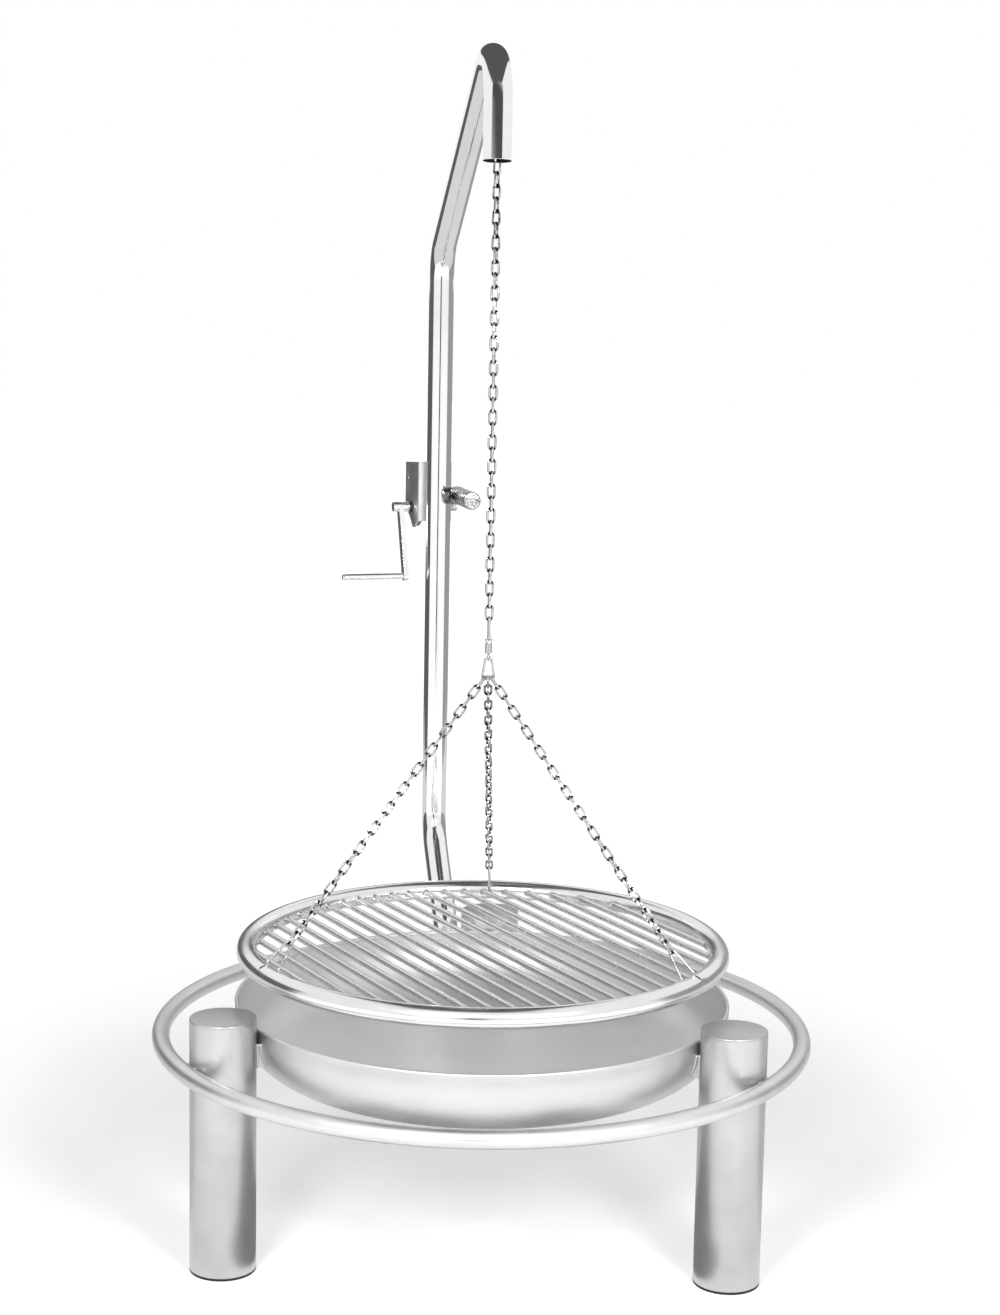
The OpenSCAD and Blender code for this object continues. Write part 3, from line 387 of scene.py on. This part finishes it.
# Foot ring.
# One hoop of 28 mm tube that touches the outer side of each leg. A weld runs along the
# touching line above and below the tube.
FOOT_RING_R = 511.0
FOOT_RING_Z = 323.5
FOOT_RING_TUBE_R = 14.0
RING_WELD_R = 1.9
RING_WELD_OUT = 0.8
RING_WELD_SWING = 17
RING_WELD_Z = 4.5
RING_WELD_RISE = 30
SWELL = 0.07


def swept(path, radius, across, steps, closed=False):
    """Grid of circles about a path; radius is a number or one for each point. The circles are
    square to the path, and are counted from the unit vector across. Open ends are capped."""
    path = np.asarray(path, float)
    radius = np.broadcast_to(np.asarray(radius, float), len(path))
    chord = np.roll(path, -1, 0) - path if closed else np.diff(path, axis=0)
    chord = chord / np.linalg.norm(chord, axis=1, keepdims=True)
    before = np.roll(chord, 1, 0) if closed else np.concatenate([chord[:1], chord])
    after = chord if closed else np.concatenate([chord, chord[-1:]])
    ahead = before + after
    ahead = ahead / np.linalg.norm(ahead, axis=1, keepdims=True)
    side = np.cross(across, ahead)
    side = side / np.linalg.norm(side, axis=1, keepdims=True)
    third = np.cross(ahead, side)
    if not closed:
        path, side, third = (np.concatenate([x[:1], x, x[-1:]]) for x in (path, side, third))
        radius = np.concatenate([[0], radius, [0]])
    turn = np.linspace(0, 2 * math.pi, steps, endpoint=False)[:, None]
    return path[:, None] + radius[:, None, None] * (
        np.cos(turn) * side[:, None] + np.sin(turn) * third[:, None])


def weld_bead(path, radius, across, closed=False, pitch=3.2, steps=8):
    """A wire whose thickness swells once in each pitch of its run, as the puddles of a weld do.
    An open bead tapers at both ends."""
    path = np.asarray(path, float)
    ends = np.concatenate([path, path[:1]]) if closed else path
    run = np.concatenate([[0], np.cumsum(np.linalg.norm(np.diff(ends, axis=0), axis=1))])
    puddles = max(round(run[-1] / pitch), 1)
    fine = np.linspace(0, run[-1], 6 * puddles + 1)
    if closed:
        fine = fine[:-1]
    line = np.stack([np.interp(fine, run, ends[:, k]) for k in range(3)], -1)
    thick = radius * (1 + SWELL * np.cos(2 * math.pi * puddles * fine / run[-1]))
    if not closed:
        thick = thick * np.sqrt(np.clip(np.minimum(fine, run[-1] - fine) / radius, 0.05, 1))
    return swept(line, thick, across, steps, closed)


def placed(points, origin, heading, lean=0.0, roll=0.0):
    """Points rolled about their own Z, leaned about Y, turned to a heading and moved to an
    origin, all angles in degrees."""
    turn = (Matrix.Rotation(math.radians(heading), 3, "Z")
            @ Matrix.Rotation(math.radians(lean), 3, "Y")
            @ Matrix.Rotation(math.radians(roll), 3, "Z"))
    return np.asarray(points) @ np.array(turn).T + np.asarray(origin)


UP = np.array([0.0, 0.0, 1.0])
hoop_steel = surfaced("hoop_steel", (0.72, 0.72, 0.72), 0.03, 0.40, 0.03, 55, 0.8, 0.03)
turn = np.radians(np.linspace(0, 360, 288, endpoint=False))
hoop = np.stack([
    BOWL_AXIS[0] + FOOT_RING_R * np.cos(turn), BOWL_AXIS[1] + FOOT_RING_R * np.sin(turn),
    np.full(len(turn), FOOT_RING_Z)], -1)
piece(
    "foot_ring_tube", [(swept(hoop, FOOT_RING_TUBE_R, UP, 32, closed=True), True, True)],
    hoop_steel, "frame", "satin_steel", "foot_ring")
weld_metal = surfaced("weld_metal", (0.56, 0.56, 0.56), 0.07, 0.46, 0.06, 5, 0.7, 0.05)
beads = []
for a in LEG_ANGLES:
    for level in (-1, 1):
        swing = np.radians(np.linspace(-RING_WELD_SWING, RING_WELD_SWING, 9))
        bead = np.stack([
            (LEG_R + RING_WELD_OUT) * np.cos(swing), (LEG_R + RING_WELD_OUT) * np.sin(swing),
            FOOT_RING_Z + level * (RING_WELD_Z + RING_WELD_RISE * swing ** 2)], -1)
        bead = placed(bead, (*spot(a, LEG_CIRCLE_R), 0), a)
        beads.append((weld_bead(bead, RING_WELD_R, UP), False, True))
piece("foot_ring_welds", beads, weld_metal, "frame", "satin_steel")

# Bowl.
# A spun dish of 4 mm plate: a short upright rim, a turned corner and a shallow bottom.
# Its upper edge is rolled to a bright bead 7 mm thick.
BOWL_R = 394.5
BOWL_T = 4.0
RIM_Z = 376.0
FLANGE_H = 10.0
CORNER_R = 100.0
CROWN_R = 900.0
RIM_BEAD_R = 3.5
RIM_BEAD_OUT = 0.4
RIM_BEAD_DROP = 2.0
corner = (BOWL_R - CORNER_R, RIM_Z - FLANGE_H)
crown_z = corner[1] + math.sqrt((CROWN_R - CORNER_R) ** 2 - corner[0] ** 2)
meet = math.degrees(math.asin(corner[0] / (CROWN_R - CORNER_R)))
dish = [
    np.concatenate([
        arc((0, crown_z), CROWN_R - inset, -90, meet - 90, 24)[:-1],
        arc(corner, CORNER_R - inset, meet - 90, 0, 24)])
    for inset in (0, BOWL_T)]
rim = arc(
    (BOWL_R + RIM_BEAD_OUT - RIM_BEAD_R, RIM_Z - RIM_BEAD_DROP), RIM_BEAD_R, -25, 262, 18)
bowl_steel = surfaced("bowl_steel", (0.74, 0.74, 0.74), 0.03, 0.42, 0.04, 90, 0.9, 0.03)
piece(
    "bowl_dish",
    [(revolved(np.concatenate([dish[0], rim, dish[1][::-1]]), BOWL_AXIS, 256), False, True)],
    bowl_steel, "frame", "satin_steel", "bowl")

# Bowl plates.
# A short plate joins the bowl to each leg at half height. Weld beads run up both of its
# edges on the leg and on the bowl.
PLATE_LOW_Z = 319.5
PLATE_TOP_Z = 356.5
PLATE_HALF_W = 19.0
PLATE_WELD_R = 2.3
PLATE_WELD_IN = 0.5
PLATE_WELD_SIDE = PLATE_HALF_W + 0.6


def machined(name, node, finish, body, edge_mm):
    """A CAD node's mesh with its triangles joined, flat faces merged and edges eased."""
    source = nodes[node].data
    points = np.zeros(len(source.vertices) * 3, np.float32)
    source.vertices.foreach_get("co", points)
    corners = np.zeros(len(source.loops), np.int32)
    source.loops.foreach_get("vertex_index", corners)
    mesh = bpy.data.meshes.new(name)
    mesh.from_pydata(points.reshape(-1, 3).tolist(), [], corners.reshape(-1, 3).tolist())
    made = finished(mesh, name, finish, body, (node,))
    if edge_mm:
        shape = bmesh.new()
        shape.from_mesh(mesh)
        bmesh.ops.dissolve_limit(
            shape, angle_limit=math.radians(1), verts=shape.verts, edges=shape.edges)
        shape.to_mesh(mesh)
        shape.free()
        bevel = made.modifiers.new("eased", "BEVEL")
        bevel.width = edge_mm / 1000
        bevel.segments = 2
        bevel.limit_method = "ANGLE"
        bevel.angle_limit = math.radians(40)
        bevel.harden_normals = True
    return made


machined("bowl_plate_blocks", "bowl_plates", blasted_steel, "frame", 0)
beads = []
for a in LEG_ANGLES:
    height = np.linspace(PLATE_LOW_Z, PLATE_TOP_Z, 7)
    for side in (-1, 1):
        wall_r = BOWL_R - CORNER_R + np.sqrt(CORNER_R ** 2 - (RIM_Z - FLANGE_H - height) ** 2)
        leg_x = LEG_CIRCLE_R - math.sqrt(LEG_R ** 2 - PLATE_HALF_W ** 2)
        for x in (wall_r + PLATE_WELD_IN, 0 * height + leg_x - PLATE_WELD_IN):
            line = np.stack([x, 0 * height + side * PLATE_WELD_SIDE, height], -1)
            line = placed(line, (*BOWL_AXIS, 0), a)
            beads.append((weld_bead(line, PLATE_WELD_R, (0.6, 0.8, 0)), False, True))
piece("bowl_plate_welds", beads, weld_metal, "frame", "satin_steel")

# Socket.
# A thick sleeve welded to the side of the rear leg, closed by a plate below. The mast's
# lower end turns in it on a bronze disc.
SOCKET_SIDE = 77.0
SOCKET = np.array([BOWL_AXIS[0] - SOCKET_SIDE, BOWL_AXIS[1] + LEG_CIRCLE_R])
SEAM_IN = 26.0
SEAM_APART = 10.0
SEAM_LOW_Z = 72.0
SEAM_TOP_Z = 304.0
SEAM_R = 2.4
sleeve_steel = surfaced("sleeve_steel", (0.58, 0.58, 0.58), 0.04, 0.40, 0.04, 30, 0.8, 0.03)
bronze = surfaced("bronze", (0.50, 0.33, 0.14), 0.05, 0.38, 0.06, 6, 0.5, 0.02)
machined("sleeve_tube", "socket_sleeve", sleeve_steel, "frame", 0.5)
machined("sleeve_plate", "socket_floor", sleeve_steel, "frame", 0.8)
machined("thrust_washer", "thrust_disc", bronze, "frame", 0)
beads = []
for y in (-SEAM_APART / 2, SEAM_APART / 2):
    seam = [
        (SOCKET[0] + SEAM_IN, SOCKET[1] + y, z) for z in np.linspace(SEAM_LOW_Z, SEAM_TOP_Z, 40)]
    beads.append((weld_bead(seam, SEAM_R, (0, 1, 0)), False, True))
piece("socket_welds", beads, weld_metal, "frame", "satin_steel")

# Mast.
# One length of polished 44.5 mm tube with four bends, open at both ends. A slot in its rear
# lets the chain in at the winch. The front of its mouth is a little higher than the back.
MAST_R = 22.25
MAST_WALL = 2.0
MAST_BACK = 205.0
ARM_REACH = math.hypot(SOCKET_SIDE, LEG_CIRCLE_R)
ARM_HEADING = math.degrees(math.atan2(-LEG_CIRCLE_R, SOCKET_SIDE))
MAST_LINE = [
    (0, 66), (0, 355), (-MAST_BACK, 496), (-MAST_BACK, 1561), (ARM_REACH, 1892), (ARM_REACH, 1687)]
MAST_BENDS = [0, 80, 80, 80, 70, 0]
SLOT_LOW_Z = 1107.0
SLOT_TOP_Z = 1178.0
EDGE_L = 0.5
MOUTH_SLANT = 4.0


def rounded(corners, radii, steps):
    """Path through corners with an arc of each radius in place of each inner corner."""
    corners = np.asarray(corners, float)
    parts = [corners[:1]]
    for before, at, after, radius in zip(corners, corners[1:], corners[2:], radii[1:]):
        back = (before - at) / np.linalg.norm(before - at)
        on = (after - at) / np.linalg.norm(after - at)
        half = math.acos(back @ on) / 2
        middle = at + (back + on) / np.linalg.norm(back + on) * radius / math.sin(half)
        start = at + back * radius / math.tan(half) - middle
        end = at + on * radius / math.tan(half) - middle
        swing = math.pi - 2 * half
        t = np.linspace(0, 1, steps + 1)[:, None]
        parts.append(middle + (
            np.sin((1 - t) * swing) * start + np.sin(t * swing) * end) / math.sin(swing))
    return np.concatenate(parts + [corners[-1:]])


flat = rounded(MAST_LINE, MAST_BENDS, 18)
upright = int(np.argmax(np.diff(flat[:, 1])))
flat = np.insert(flat, upright + 1, [
    (-MAST_BACK, SLOT_LOW_Z - EDGE_L), (-MAST_BACK, SLOT_LOW_Z), (-MAST_BACK, SLOT_TOP_Z),
    (-MAST_BACK, SLOT_TOP_Z + EDGE_L)], axis=0)
flat = np.concatenate([
    flat[:1], flat[:1] + (0, EDGE_L), flat[1:-1], flat[-1:] + (0, EDGE_L), flat[-1:]])
path = placed(
    np.stack([flat[:, 0], 0 * flat[:, 0], flat[:, 1]], -1), (*SOCKET, 0), ARM_HEADING)
to_right = placed([(0, 1, 0)], (0, 0, 0), ARM_HEADING)[0]
MAST_STEPS = 72
SLOT_STEPS = slice(33, 43)
tube = swept(path, MAST_R, to_right, MAST_STEPS)[1:-1]
mouth_front = placed([(ARM_REACH + MAST_R, 0, 0)], (*SOCKET, 0), ARM_HEADING)[0, 1]
mouth = tube[-2:]
mouth[..., 2] += MOUTH_SLANT * np.clip(1 - (mouth[..., 1] - mouth_front) / (2 * MAST_R), 0, 1)
keep = np.ones((len(tube) - 1, MAST_STEPS), bool)
keep[upright + 3, SLOT_STEPS] = False
mirror_steel = surfaced("mirror_steel", (0.86, 0.86, 0.86), 0.02, 0.09, 0.02, 40, 3.0, 0.003)
# Painted shade: the tube's inner wall and its cut ends are near black, for the dark inside the
# open tube.
painted_bore_shade = surfaced("painted_bore_shade", (0.05, 0.05, 0.05), 0.02, 0.6, 0.1, 8, 0.7, 0.03)
mast = piece(
    "mast_pipe", [(tube, False, True, keep)], mirror_steel, "mast", "polished_steel",
    "mast_tube")
mast.data.materials.append(painted_bore_shade)
wall = mast.modifiers.new("wall", "SOLIDIFY")
wall.thickness = MAST_WALL / 1000
wall.offset = -1
wall.use_even_offset = True
# The inner wall and the cut ends take the painted shade.
wall.material_offset = 1
wall.material_offset_rim = 1

# Winch bracket.
# Laser-cut 4 mm plate folded to a channel: the web lies against the back of the mast and
# the side plates run to the rear, each with a rounded tongue below.
WINCH_HEADING = ARM_HEADING + 10.0
WINCH = placed([(-MAST_BACK, 0, 0)], (*SOCKET, 0), ARM_HEADING)[0]
BRACKET_TOP_Z = 1184.0
BRACKET_LOW_Z = 1075.0
FOLD_R = 5.0
BRACKET_T = 4.0
BRACKET_EDGE = 0.6
BRACKET_DEPTH = 82.0
BRACKET_W = 65.0
TOP_SLOPE = 5.0
REAR_LOW_Z = 1100.0
TONGUE_R = 16.0
TONGUE_X = -50.25
TONGUE_Z = 1077.0
web_x = -MAST_R
rear_x = web_x - BRACKET_DEPTH
side_y = BRACKET_W / 2
plan = rounded(
    [(rear_x, -side_y), (web_x, -side_y), (web_x, side_y), (rear_x, side_y)],
    [0, FOLD_R, FOLD_R, 0], 6)
inner_x = np.linspace(rear_x, web_x - FOLD_R, 48)[1:-1]
side = np.stack([inner_x, np.full(len(inner_x), -side_y)], -1)
plan = np.concatenate([plan[:1], side, plan[1:-1], side[::-1] * (1, -1), plan[-1:]])
tongue = arc((TONGUE_X, TONGUE_Z), TONGUE_R, 205, 335, 12)
outline = np.concatenate([[(rear_x, REAR_LOW_Z)], tongue, [(web_x, BRACKET_LOW_Z)]])
low = np.interp(plan[:, 0], outline[:, 0], outline[:, 1])
top = np.interp(plan[:, 0], [rear_x, web_x], [BRACKET_TOP_Z - TOP_SLOPE, BRACKET_TOP_Z])
share = np.linspace(0, 1, 3)[:, None]
height = low + share * (top - low)
sheet = np.stack([plan[:, 0] + 0 * height, plan[:, 1] + 0 * height, height], -1)
cut_steel = surfaced("cut_steel", (0.58, 0.58, 0.58), 0.03, 0.38, 0.05, 22, 0.8, 0.02)
bracket = piece(
    "winch_channel", [(placed(sheet, WINCH, WINCH_HEADING), False, False)], cut_steel,
    "mast", "plate_steel", "winch_bracket")
wall = bracket.modifiers.new("plate", "SOLIDIFY")
wall.thickness = BRACKET_T / 1000
wall.offset = -1
ease = bracket.modifiers.new("eased", "BEVEL")
ease.width = BRACKET_EDGE / 1000
ease.segments = 2
ease.limit_method = "ANGLE"
ease.angle_limit = math.radians(50)
ease.harden_normals = True
machined("clamp_screws", "bracket_screws", cut_steel, "mast", 0.5)
machined("handle_plate", "handle_lug", cut_steel, "mast", 0.6)

# Swing handle.
# A solid bar that the arm is swung by, held to a lug by one screw from behind.
# Its turned end is bright and the rest is darker.
bar_steel = surfaced("bar_steel", (0.17, 0.17, 0.17), 0.03, 0.26, 0.05, 14, 0.7, 0.02)
machined("swing_bar", "swing_handle", bar_steel, "mast", 0.6)
HANDLE_SIDE = 41.5
HANDLE_Z = 1123.0
HANDLE_HEADING = WINCH_HEADING - 5.5
BAR_L = 134.3
BAR_FACE_R = 14.6
BAR_EDGE_R = 0.4
BAR_SINK = 0.3
turned_face = surfaced("turned_face", (0.50, 0.50, 0.50), 0.40, 0.20, 0.08, 3.0, 3.0, 0.4)
end_profile = np.concatenate([
    [[BAR_FACE_R, BAR_L - BAR_EDGE_R - BAR_SINK]],
    arc((BAR_FACE_R - BAR_EDGE_R, BAR_L - BAR_EDGE_R), BAR_EDGE_R, 0, 90, 3), [[0, BAR_L]]])
end = revolved(end_profile, (0, 0), 64)
end = np.stack([end[..., 2], end[..., 1], -end[..., 0]], -1)
root = placed([(web_x, HANDLE_SIDE, HANDLE_Z)], (*WINCH[:2], 0), WINCH_HEADING)[0]
piece(
    "swing_bar_end", [(placed(end, root, HANDLE_HEADING), False, True)], turned_face, "mast",
    "polished_steel")
machined("swing_bar_screw", "handle_screw", mirror_steel, "mast", 0.5)

# Winch.
# A shaft in two bronze bushes carries the drum with its two cheeks and the ratchet wheel.
# The pawl hangs from a pin above and has a knob to lift it by.
machined("bushes", "shaft_bushes", bronze, "mast", 0)
machined("pawl_pivot", "pawl_pin", mirror_steel, "mast", 0.4)
machined("pawl_plate", "pawl", cut_steel, "pawl", 0.4)
machined("pawl_grip", "pawl_knob", mirror_steel, "pawl", 0.6)
machined("shaft_rod", "winch_shaft", mirror_steel, "winch", 0.5)
machined("drum_spool", "chain_drum", cut_steel, "winch", 0.5)
machined("ratchet_disc", "ratchet_wheel", cut_steel, "winch", 0.3)

# Crank.
# A flat arm clamped to the shaft between hub and cap, with a turning grip on a pin.
# All of it is bright, but for the black ring between the hub and the side plate.
machined("crank_boss", "crank_hub", mirror_steel, "winch", 0.9)
machined("crank_lever", "crank_arm", mirror_steel, "winch", 0.9)
black_ring = surfaced(
    "black_ring", (0.02, 0.02, 0.02), 0.006, 0.45, 0.08, 9, 0.8, 0.02, metallic=0)
SHAFT_DEPTH = 44.0
SHAFT_Z = 1098.0
COLLAR_BORE_R = 9.6
COLLAR_R = 11.0
COLLAR_L = 4.7
COLLAR_PLAY = 0.2
END_CAP_BORE_R = 6.3
END_CAP_NECK_R = 7.5
END_CAP_R = 9.0
END_CAP_LEFT = 43.5
END_CAP_STEP = 46.0
END_CAP_RIGHT = 54.8
END_CAP_EDGE = 0.6
SHAFT = placed([(web_x - SHAFT_DEPTH, 0, SHAFT_Z)], (*WINCH[:2], 0), WINCH_HEADING)[0]


def turned(name, profile, finish, slot):
    """A ring turned about the winch's shaft, from (radius, distance to its right)."""
    ring = revolved(profile, (0, 0), 48)
    ring = np.stack([ring[..., 0], ring[..., 2], ring[..., 1]], -1)
    piece(name, [(placed(ring, SHAFT, WINCH_HEADING), True, True)], finish, "winch", slot)


collar_right = -side_y - COLLAR_PLAY
collar_left = collar_right - COLLAR_L
turned(
    "crank_collar", [
        [COLLAR_BORE_R, collar_left], [COLLAR_R, collar_left], [COLLAR_R, collar_right],
        [COLLAR_BORE_R, collar_right]],
    black_ring, "foot_rubber")
turned(
    "shaft_end_cap", [
        [END_CAP_BORE_R, END_CAP_LEFT], [END_CAP_NECK_R, END_CAP_LEFT],
        [END_CAP_NECK_R, END_CAP_STEP], [END_CAP_R, END_CAP_STEP + END_CAP_EDGE / 2],
        [END_CAP_R, END_CAP_RIGHT - END_CAP_EDGE], [END_CAP_R - END_CAP_EDGE, END_CAP_RIGHT],
        [END_CAP_BORE_R, END_CAP_RIGHT]],
    cut_steel, "polished_steel")
machined("shaft_end_nut", "shaft_nut", cut_steel, "winch", 0.9)
machined("grip_spindle", "grip_pin", mirror_steel, "winch", 0.4)
machined("crank_sleeve", "crank_grip", mirror_steel, "grip", 0.8)

# Chain.
# Welded round-wire links, 4 mm wire and 19 mm pitch, tumbled bright. Each link has a slight
# swell where it was butt-welded. The inner faces of its bows are painted near black as the
# shade where its neighbours meet.
WIRE_R = 2.0
LINK_L = 23.3
LINK_W = 10.6
PITCH = 19.0
AROUND = 8
BUTT_SWELL = 1.12
BUTT_L = 2.6
bright_wire = surfaced("bright_wire", (0.56, 0.56, 0.56), 0.05, 0.15, 0.05, 7, 0.8, 0.01)
# Near-black finish painted on the inner faces of the bows, as the shade between links.
shaded_bow_wire = surfaced("shaded_bow_wire", (0.03, 0.03, 0.03), 0.01, 0.55, 0.08, 5, 0.8, 0.01)
straight = (LINK_L - LINK_W) / 2
oval = np.concatenate([
    arc((0, straight), LINK_W / 2, 0, 180, 6), [(-LINK_W / 2, 0.0)],
    arc((0, -straight), LINK_W / 2, 180, 360, 6),
    [(LINK_W / 2, -BUTT_L / 2), (LINK_W / 2, 0.0), (LINK_W / 2, BUTT_L / 2)]])
thick = np.full(len(oval), WIRE_R)
thick[-2] = WIRE_R * BUTT_SWELL
link = swept(
    np.stack([oval[:, 0], 0 * oval[:, 0], oval[:, 1]], -1), thick, (0, 1, 0), AROUND,
    closed=True)
middle = (np.abs(oval[:, 1]) + np.abs(np.roll(oval[:, 1], -1))) / 2 - straight
# Faces inside each bow that take the painted shade.
bow_shade_mask = np.zeros((len(oval), AROUND), bool)
bow_shade_mask[middle > 0, 2:6] = True
bow_shade_mask[middle > LINK_W / 4, 1:7] = True


def chain(name, links, body, *stands_for):
    """Links at their places, with painted shade, near black, on the inner faces of their bows."""
    made = piece(
        name, [(points, True, True) for points in links], bright_wire, body, "chain_steel",
        *stands_for)
    made.data.materials.append(shaded_bow_wire)
    made.data.polygons.foreach_set(
        "material_index", np.tile(bow_shade_mask.ravel(), len(links)).astype(np.int32))
    return made


def hung_links(top_z, turns):
    """Links one pitch below each other on the bowl's axis, each turned by its own angle."""
    return [
        placed(link, (*BOWL_AXIS, top_z - PITCH * k), ARM_HEADING + a)
        for k, a in enumerate(turns)]


HANG_TOP_Z = 1699.0
LINKS = 38
GROUP = 6
MOUTH_TWIST = 42
TWISTED = 24
count = np.arange(LINKS)
turns = 90.0 * (count % 2) + MOUTH_TWIST * np.clip((count - TWISTED) / TWISTED, -1, 0)
for g in range(3):
    first = g * GROUP
    stood = ("hang_link_upper", "hang_link_lower") if g == 0 else ()
    run = chain(
        f"chain_run_{g + 1}",
        hung_links(HANG_TOP_Z - PITCH * first, turns[first:first + GROUP]), "lift", *stood)
    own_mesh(run)
first = 3 * GROUP
chain(
    "chain_run_low", hung_links(HANG_TOP_Z - PITCH * first, turns[first:]), "lift",
    "main_chain")
machined("mast_chain_links", "mast_chain", bright_wire, "mast", 0)
machined("feed_chain_links", "feed_chain", bright_wire, "mast", 0)
machined("drum_chain_links", "wound_chain", bright_wire, "winch", 0)

# Hooks and swivel.
# Two snap hooks of bent wire with sprung gates, and between them a swivel that lets the
# grate turn without twisting the chain.
machined("upper_snap_hook", "upper_hook", bright_wire, "lift", 0)
machined("upper_snap_gate", "upper_hook_gate", bright_wire, "upper_gate", 0)
machined("swivel_body", "swivel_barrel", bright_wire, "lift", 0)
machined("swivel_lower_eye", "swivel_eye", bright_wire, "grate", 0)
machined("lower_snap_hook", "lower_hook", bright_wire, "grate", 0)
machined("lower_snap_gate", "lower_hook_gate", bright_wire, "lower_gate", 0)

# Leg chains.
# Three lengths of the same chain run from the lower hook to the grate, each ending in a
# pear-shaped wire loop that passes through two slots in the ring.
HOOK_BAR_Z = 891.0
HOOK_WIRE_R = 2.0
LEG_LINKS = 27
START_STEP = 6.7
LINK_PLAY = 0.3
GRATE_R = 376.4
GRATE_Z = 456.0
for side, step, a in zip(("left", "right", "rear"), (-1, 1, 0), LEG_ANGLES):
    start = np.array([step * START_STEP, 0, HOOK_BAR_Z])
    way = np.array([*(spot(a, GRATE_R) - BOWL_AXIS), GRATE_Z]) - start
    heading = math.atan2(way[1], way[0])
    lean = math.pi - math.atan2(math.hypot(way[0], way[1]), -way[2])
    # Slanting links sit a little lower on the hook's bar, and the first one is square to it.
    slant = math.hypot(way[1], way[2]) / np.linalg.norm(way)
    seat = PITCH / 2 + LINK_PLAY / 2 - WIRE_R - LINK_PLAY - HOOK_WIRE_R * (1 / slant - 1)
    square = math.degrees(math.atan2(-math.sin(heading), math.cos(heading) * math.cos(lean)))
    twist = square - 90 - 90 * (LEG_LINKS % 2)
    twist -= 180 * round(twist / 180)
    heading, lean = math.degrees(heading), math.degrees(lean)
    last = LEG_LINKS - 1
    links = []
    for k in range(LEG_LINKS):
        roll = 90 * ((k + LEG_LINKS) % 2) + twist * (last - k) / last
        along = placed([(0, 0, seat + k * PITCH)], start, heading, lean)[0]
        links.append(placed(link, along + (*BOWL_AXIS, 0), heading, lean, roll))
    chain("grate_chain_" + side, links, "grate", "leg_chain_" + side)
machined("chain_loops", "chain_stirrups", bright_wire, "grate", 0)

# Grate ring.
# A hoop of polished 32 mm tube. Beside each leg chain two narrow slots open it, and the
# wire loop hangs on the bridge between them.
ring_steel = surfaced("ring_steel", (0.80, 0.80, 0.80), 0.03, 0.19, 0.04, 60, 0.9, 0.01)
machined("grate_hoop", "grate_ring", ring_steel, "grate", 0)

# Grate bars.
# Twenty-two round bars, 9.5 mm thick and 32 mm apart, butted against the inside of the ring
# and welded all round.
GRATE_TUBE_R = 16.0
BAR_R = 4.75
BAR_PITCH = 32.0
BAR_SHIFT = 3.5
BARS = 22
BAR_HEADING = 120
BAR_WELD_R = 1.3
BAR_WELD_OUT = 0.5
BAR_WELD_PITCH = 4.5
bars, beads = [], []
around = np.radians(np.linspace(0, 360, 24, endpoint=False))
for i in range(BARS):
    side = (i - (BARS - 1) / 2) * BAR_PITCH + BAR_SHIFT
    half = math.sqrt((GRATE_R - GRATE_TUBE_R + 1.0) ** 2 - side ** 2)
    line = placed([(-half, side, 0), (half, side, 0)], (*BOWL_AXIS, GRATE_Z), BAR_HEADING)
    bars.append((swept(line, BAR_R, UP, 20), False, True))
    for end in (-1, 1):
        out = BAR_R + BAR_WELD_OUT
        y = side + out * np.cos(around)
        z = out * np.sin(around)
        x = end * np.sqrt((GRATE_R - np.sqrt(GRATE_TUBE_R ** 2 - z ** 2)) ** 2 - y ** 2)
        seam = placed(np.stack([x, y, z], -1), (*BOWL_AXIS, GRATE_Z), BAR_HEADING)
        along = placed([(1, 0, 0)], (0, 0, 0), BAR_HEADING)[0]
        beads.append((
            weld_bead(seam, BAR_WELD_R, along, closed=True, pitch=BAR_WELD_PITCH), True, True))
bar_finish = surfaced("bar_finish", (0.66, 0.66, 0.66), 0.03, 0.24, 0.05, 18, 0.8, 0.02)
piece("grate_rods", bars, bar_finish, "grate", "polished_steel", "grate_bars")
piece("grate_welds", beads, weld_metal, "grate", "polished_steel")
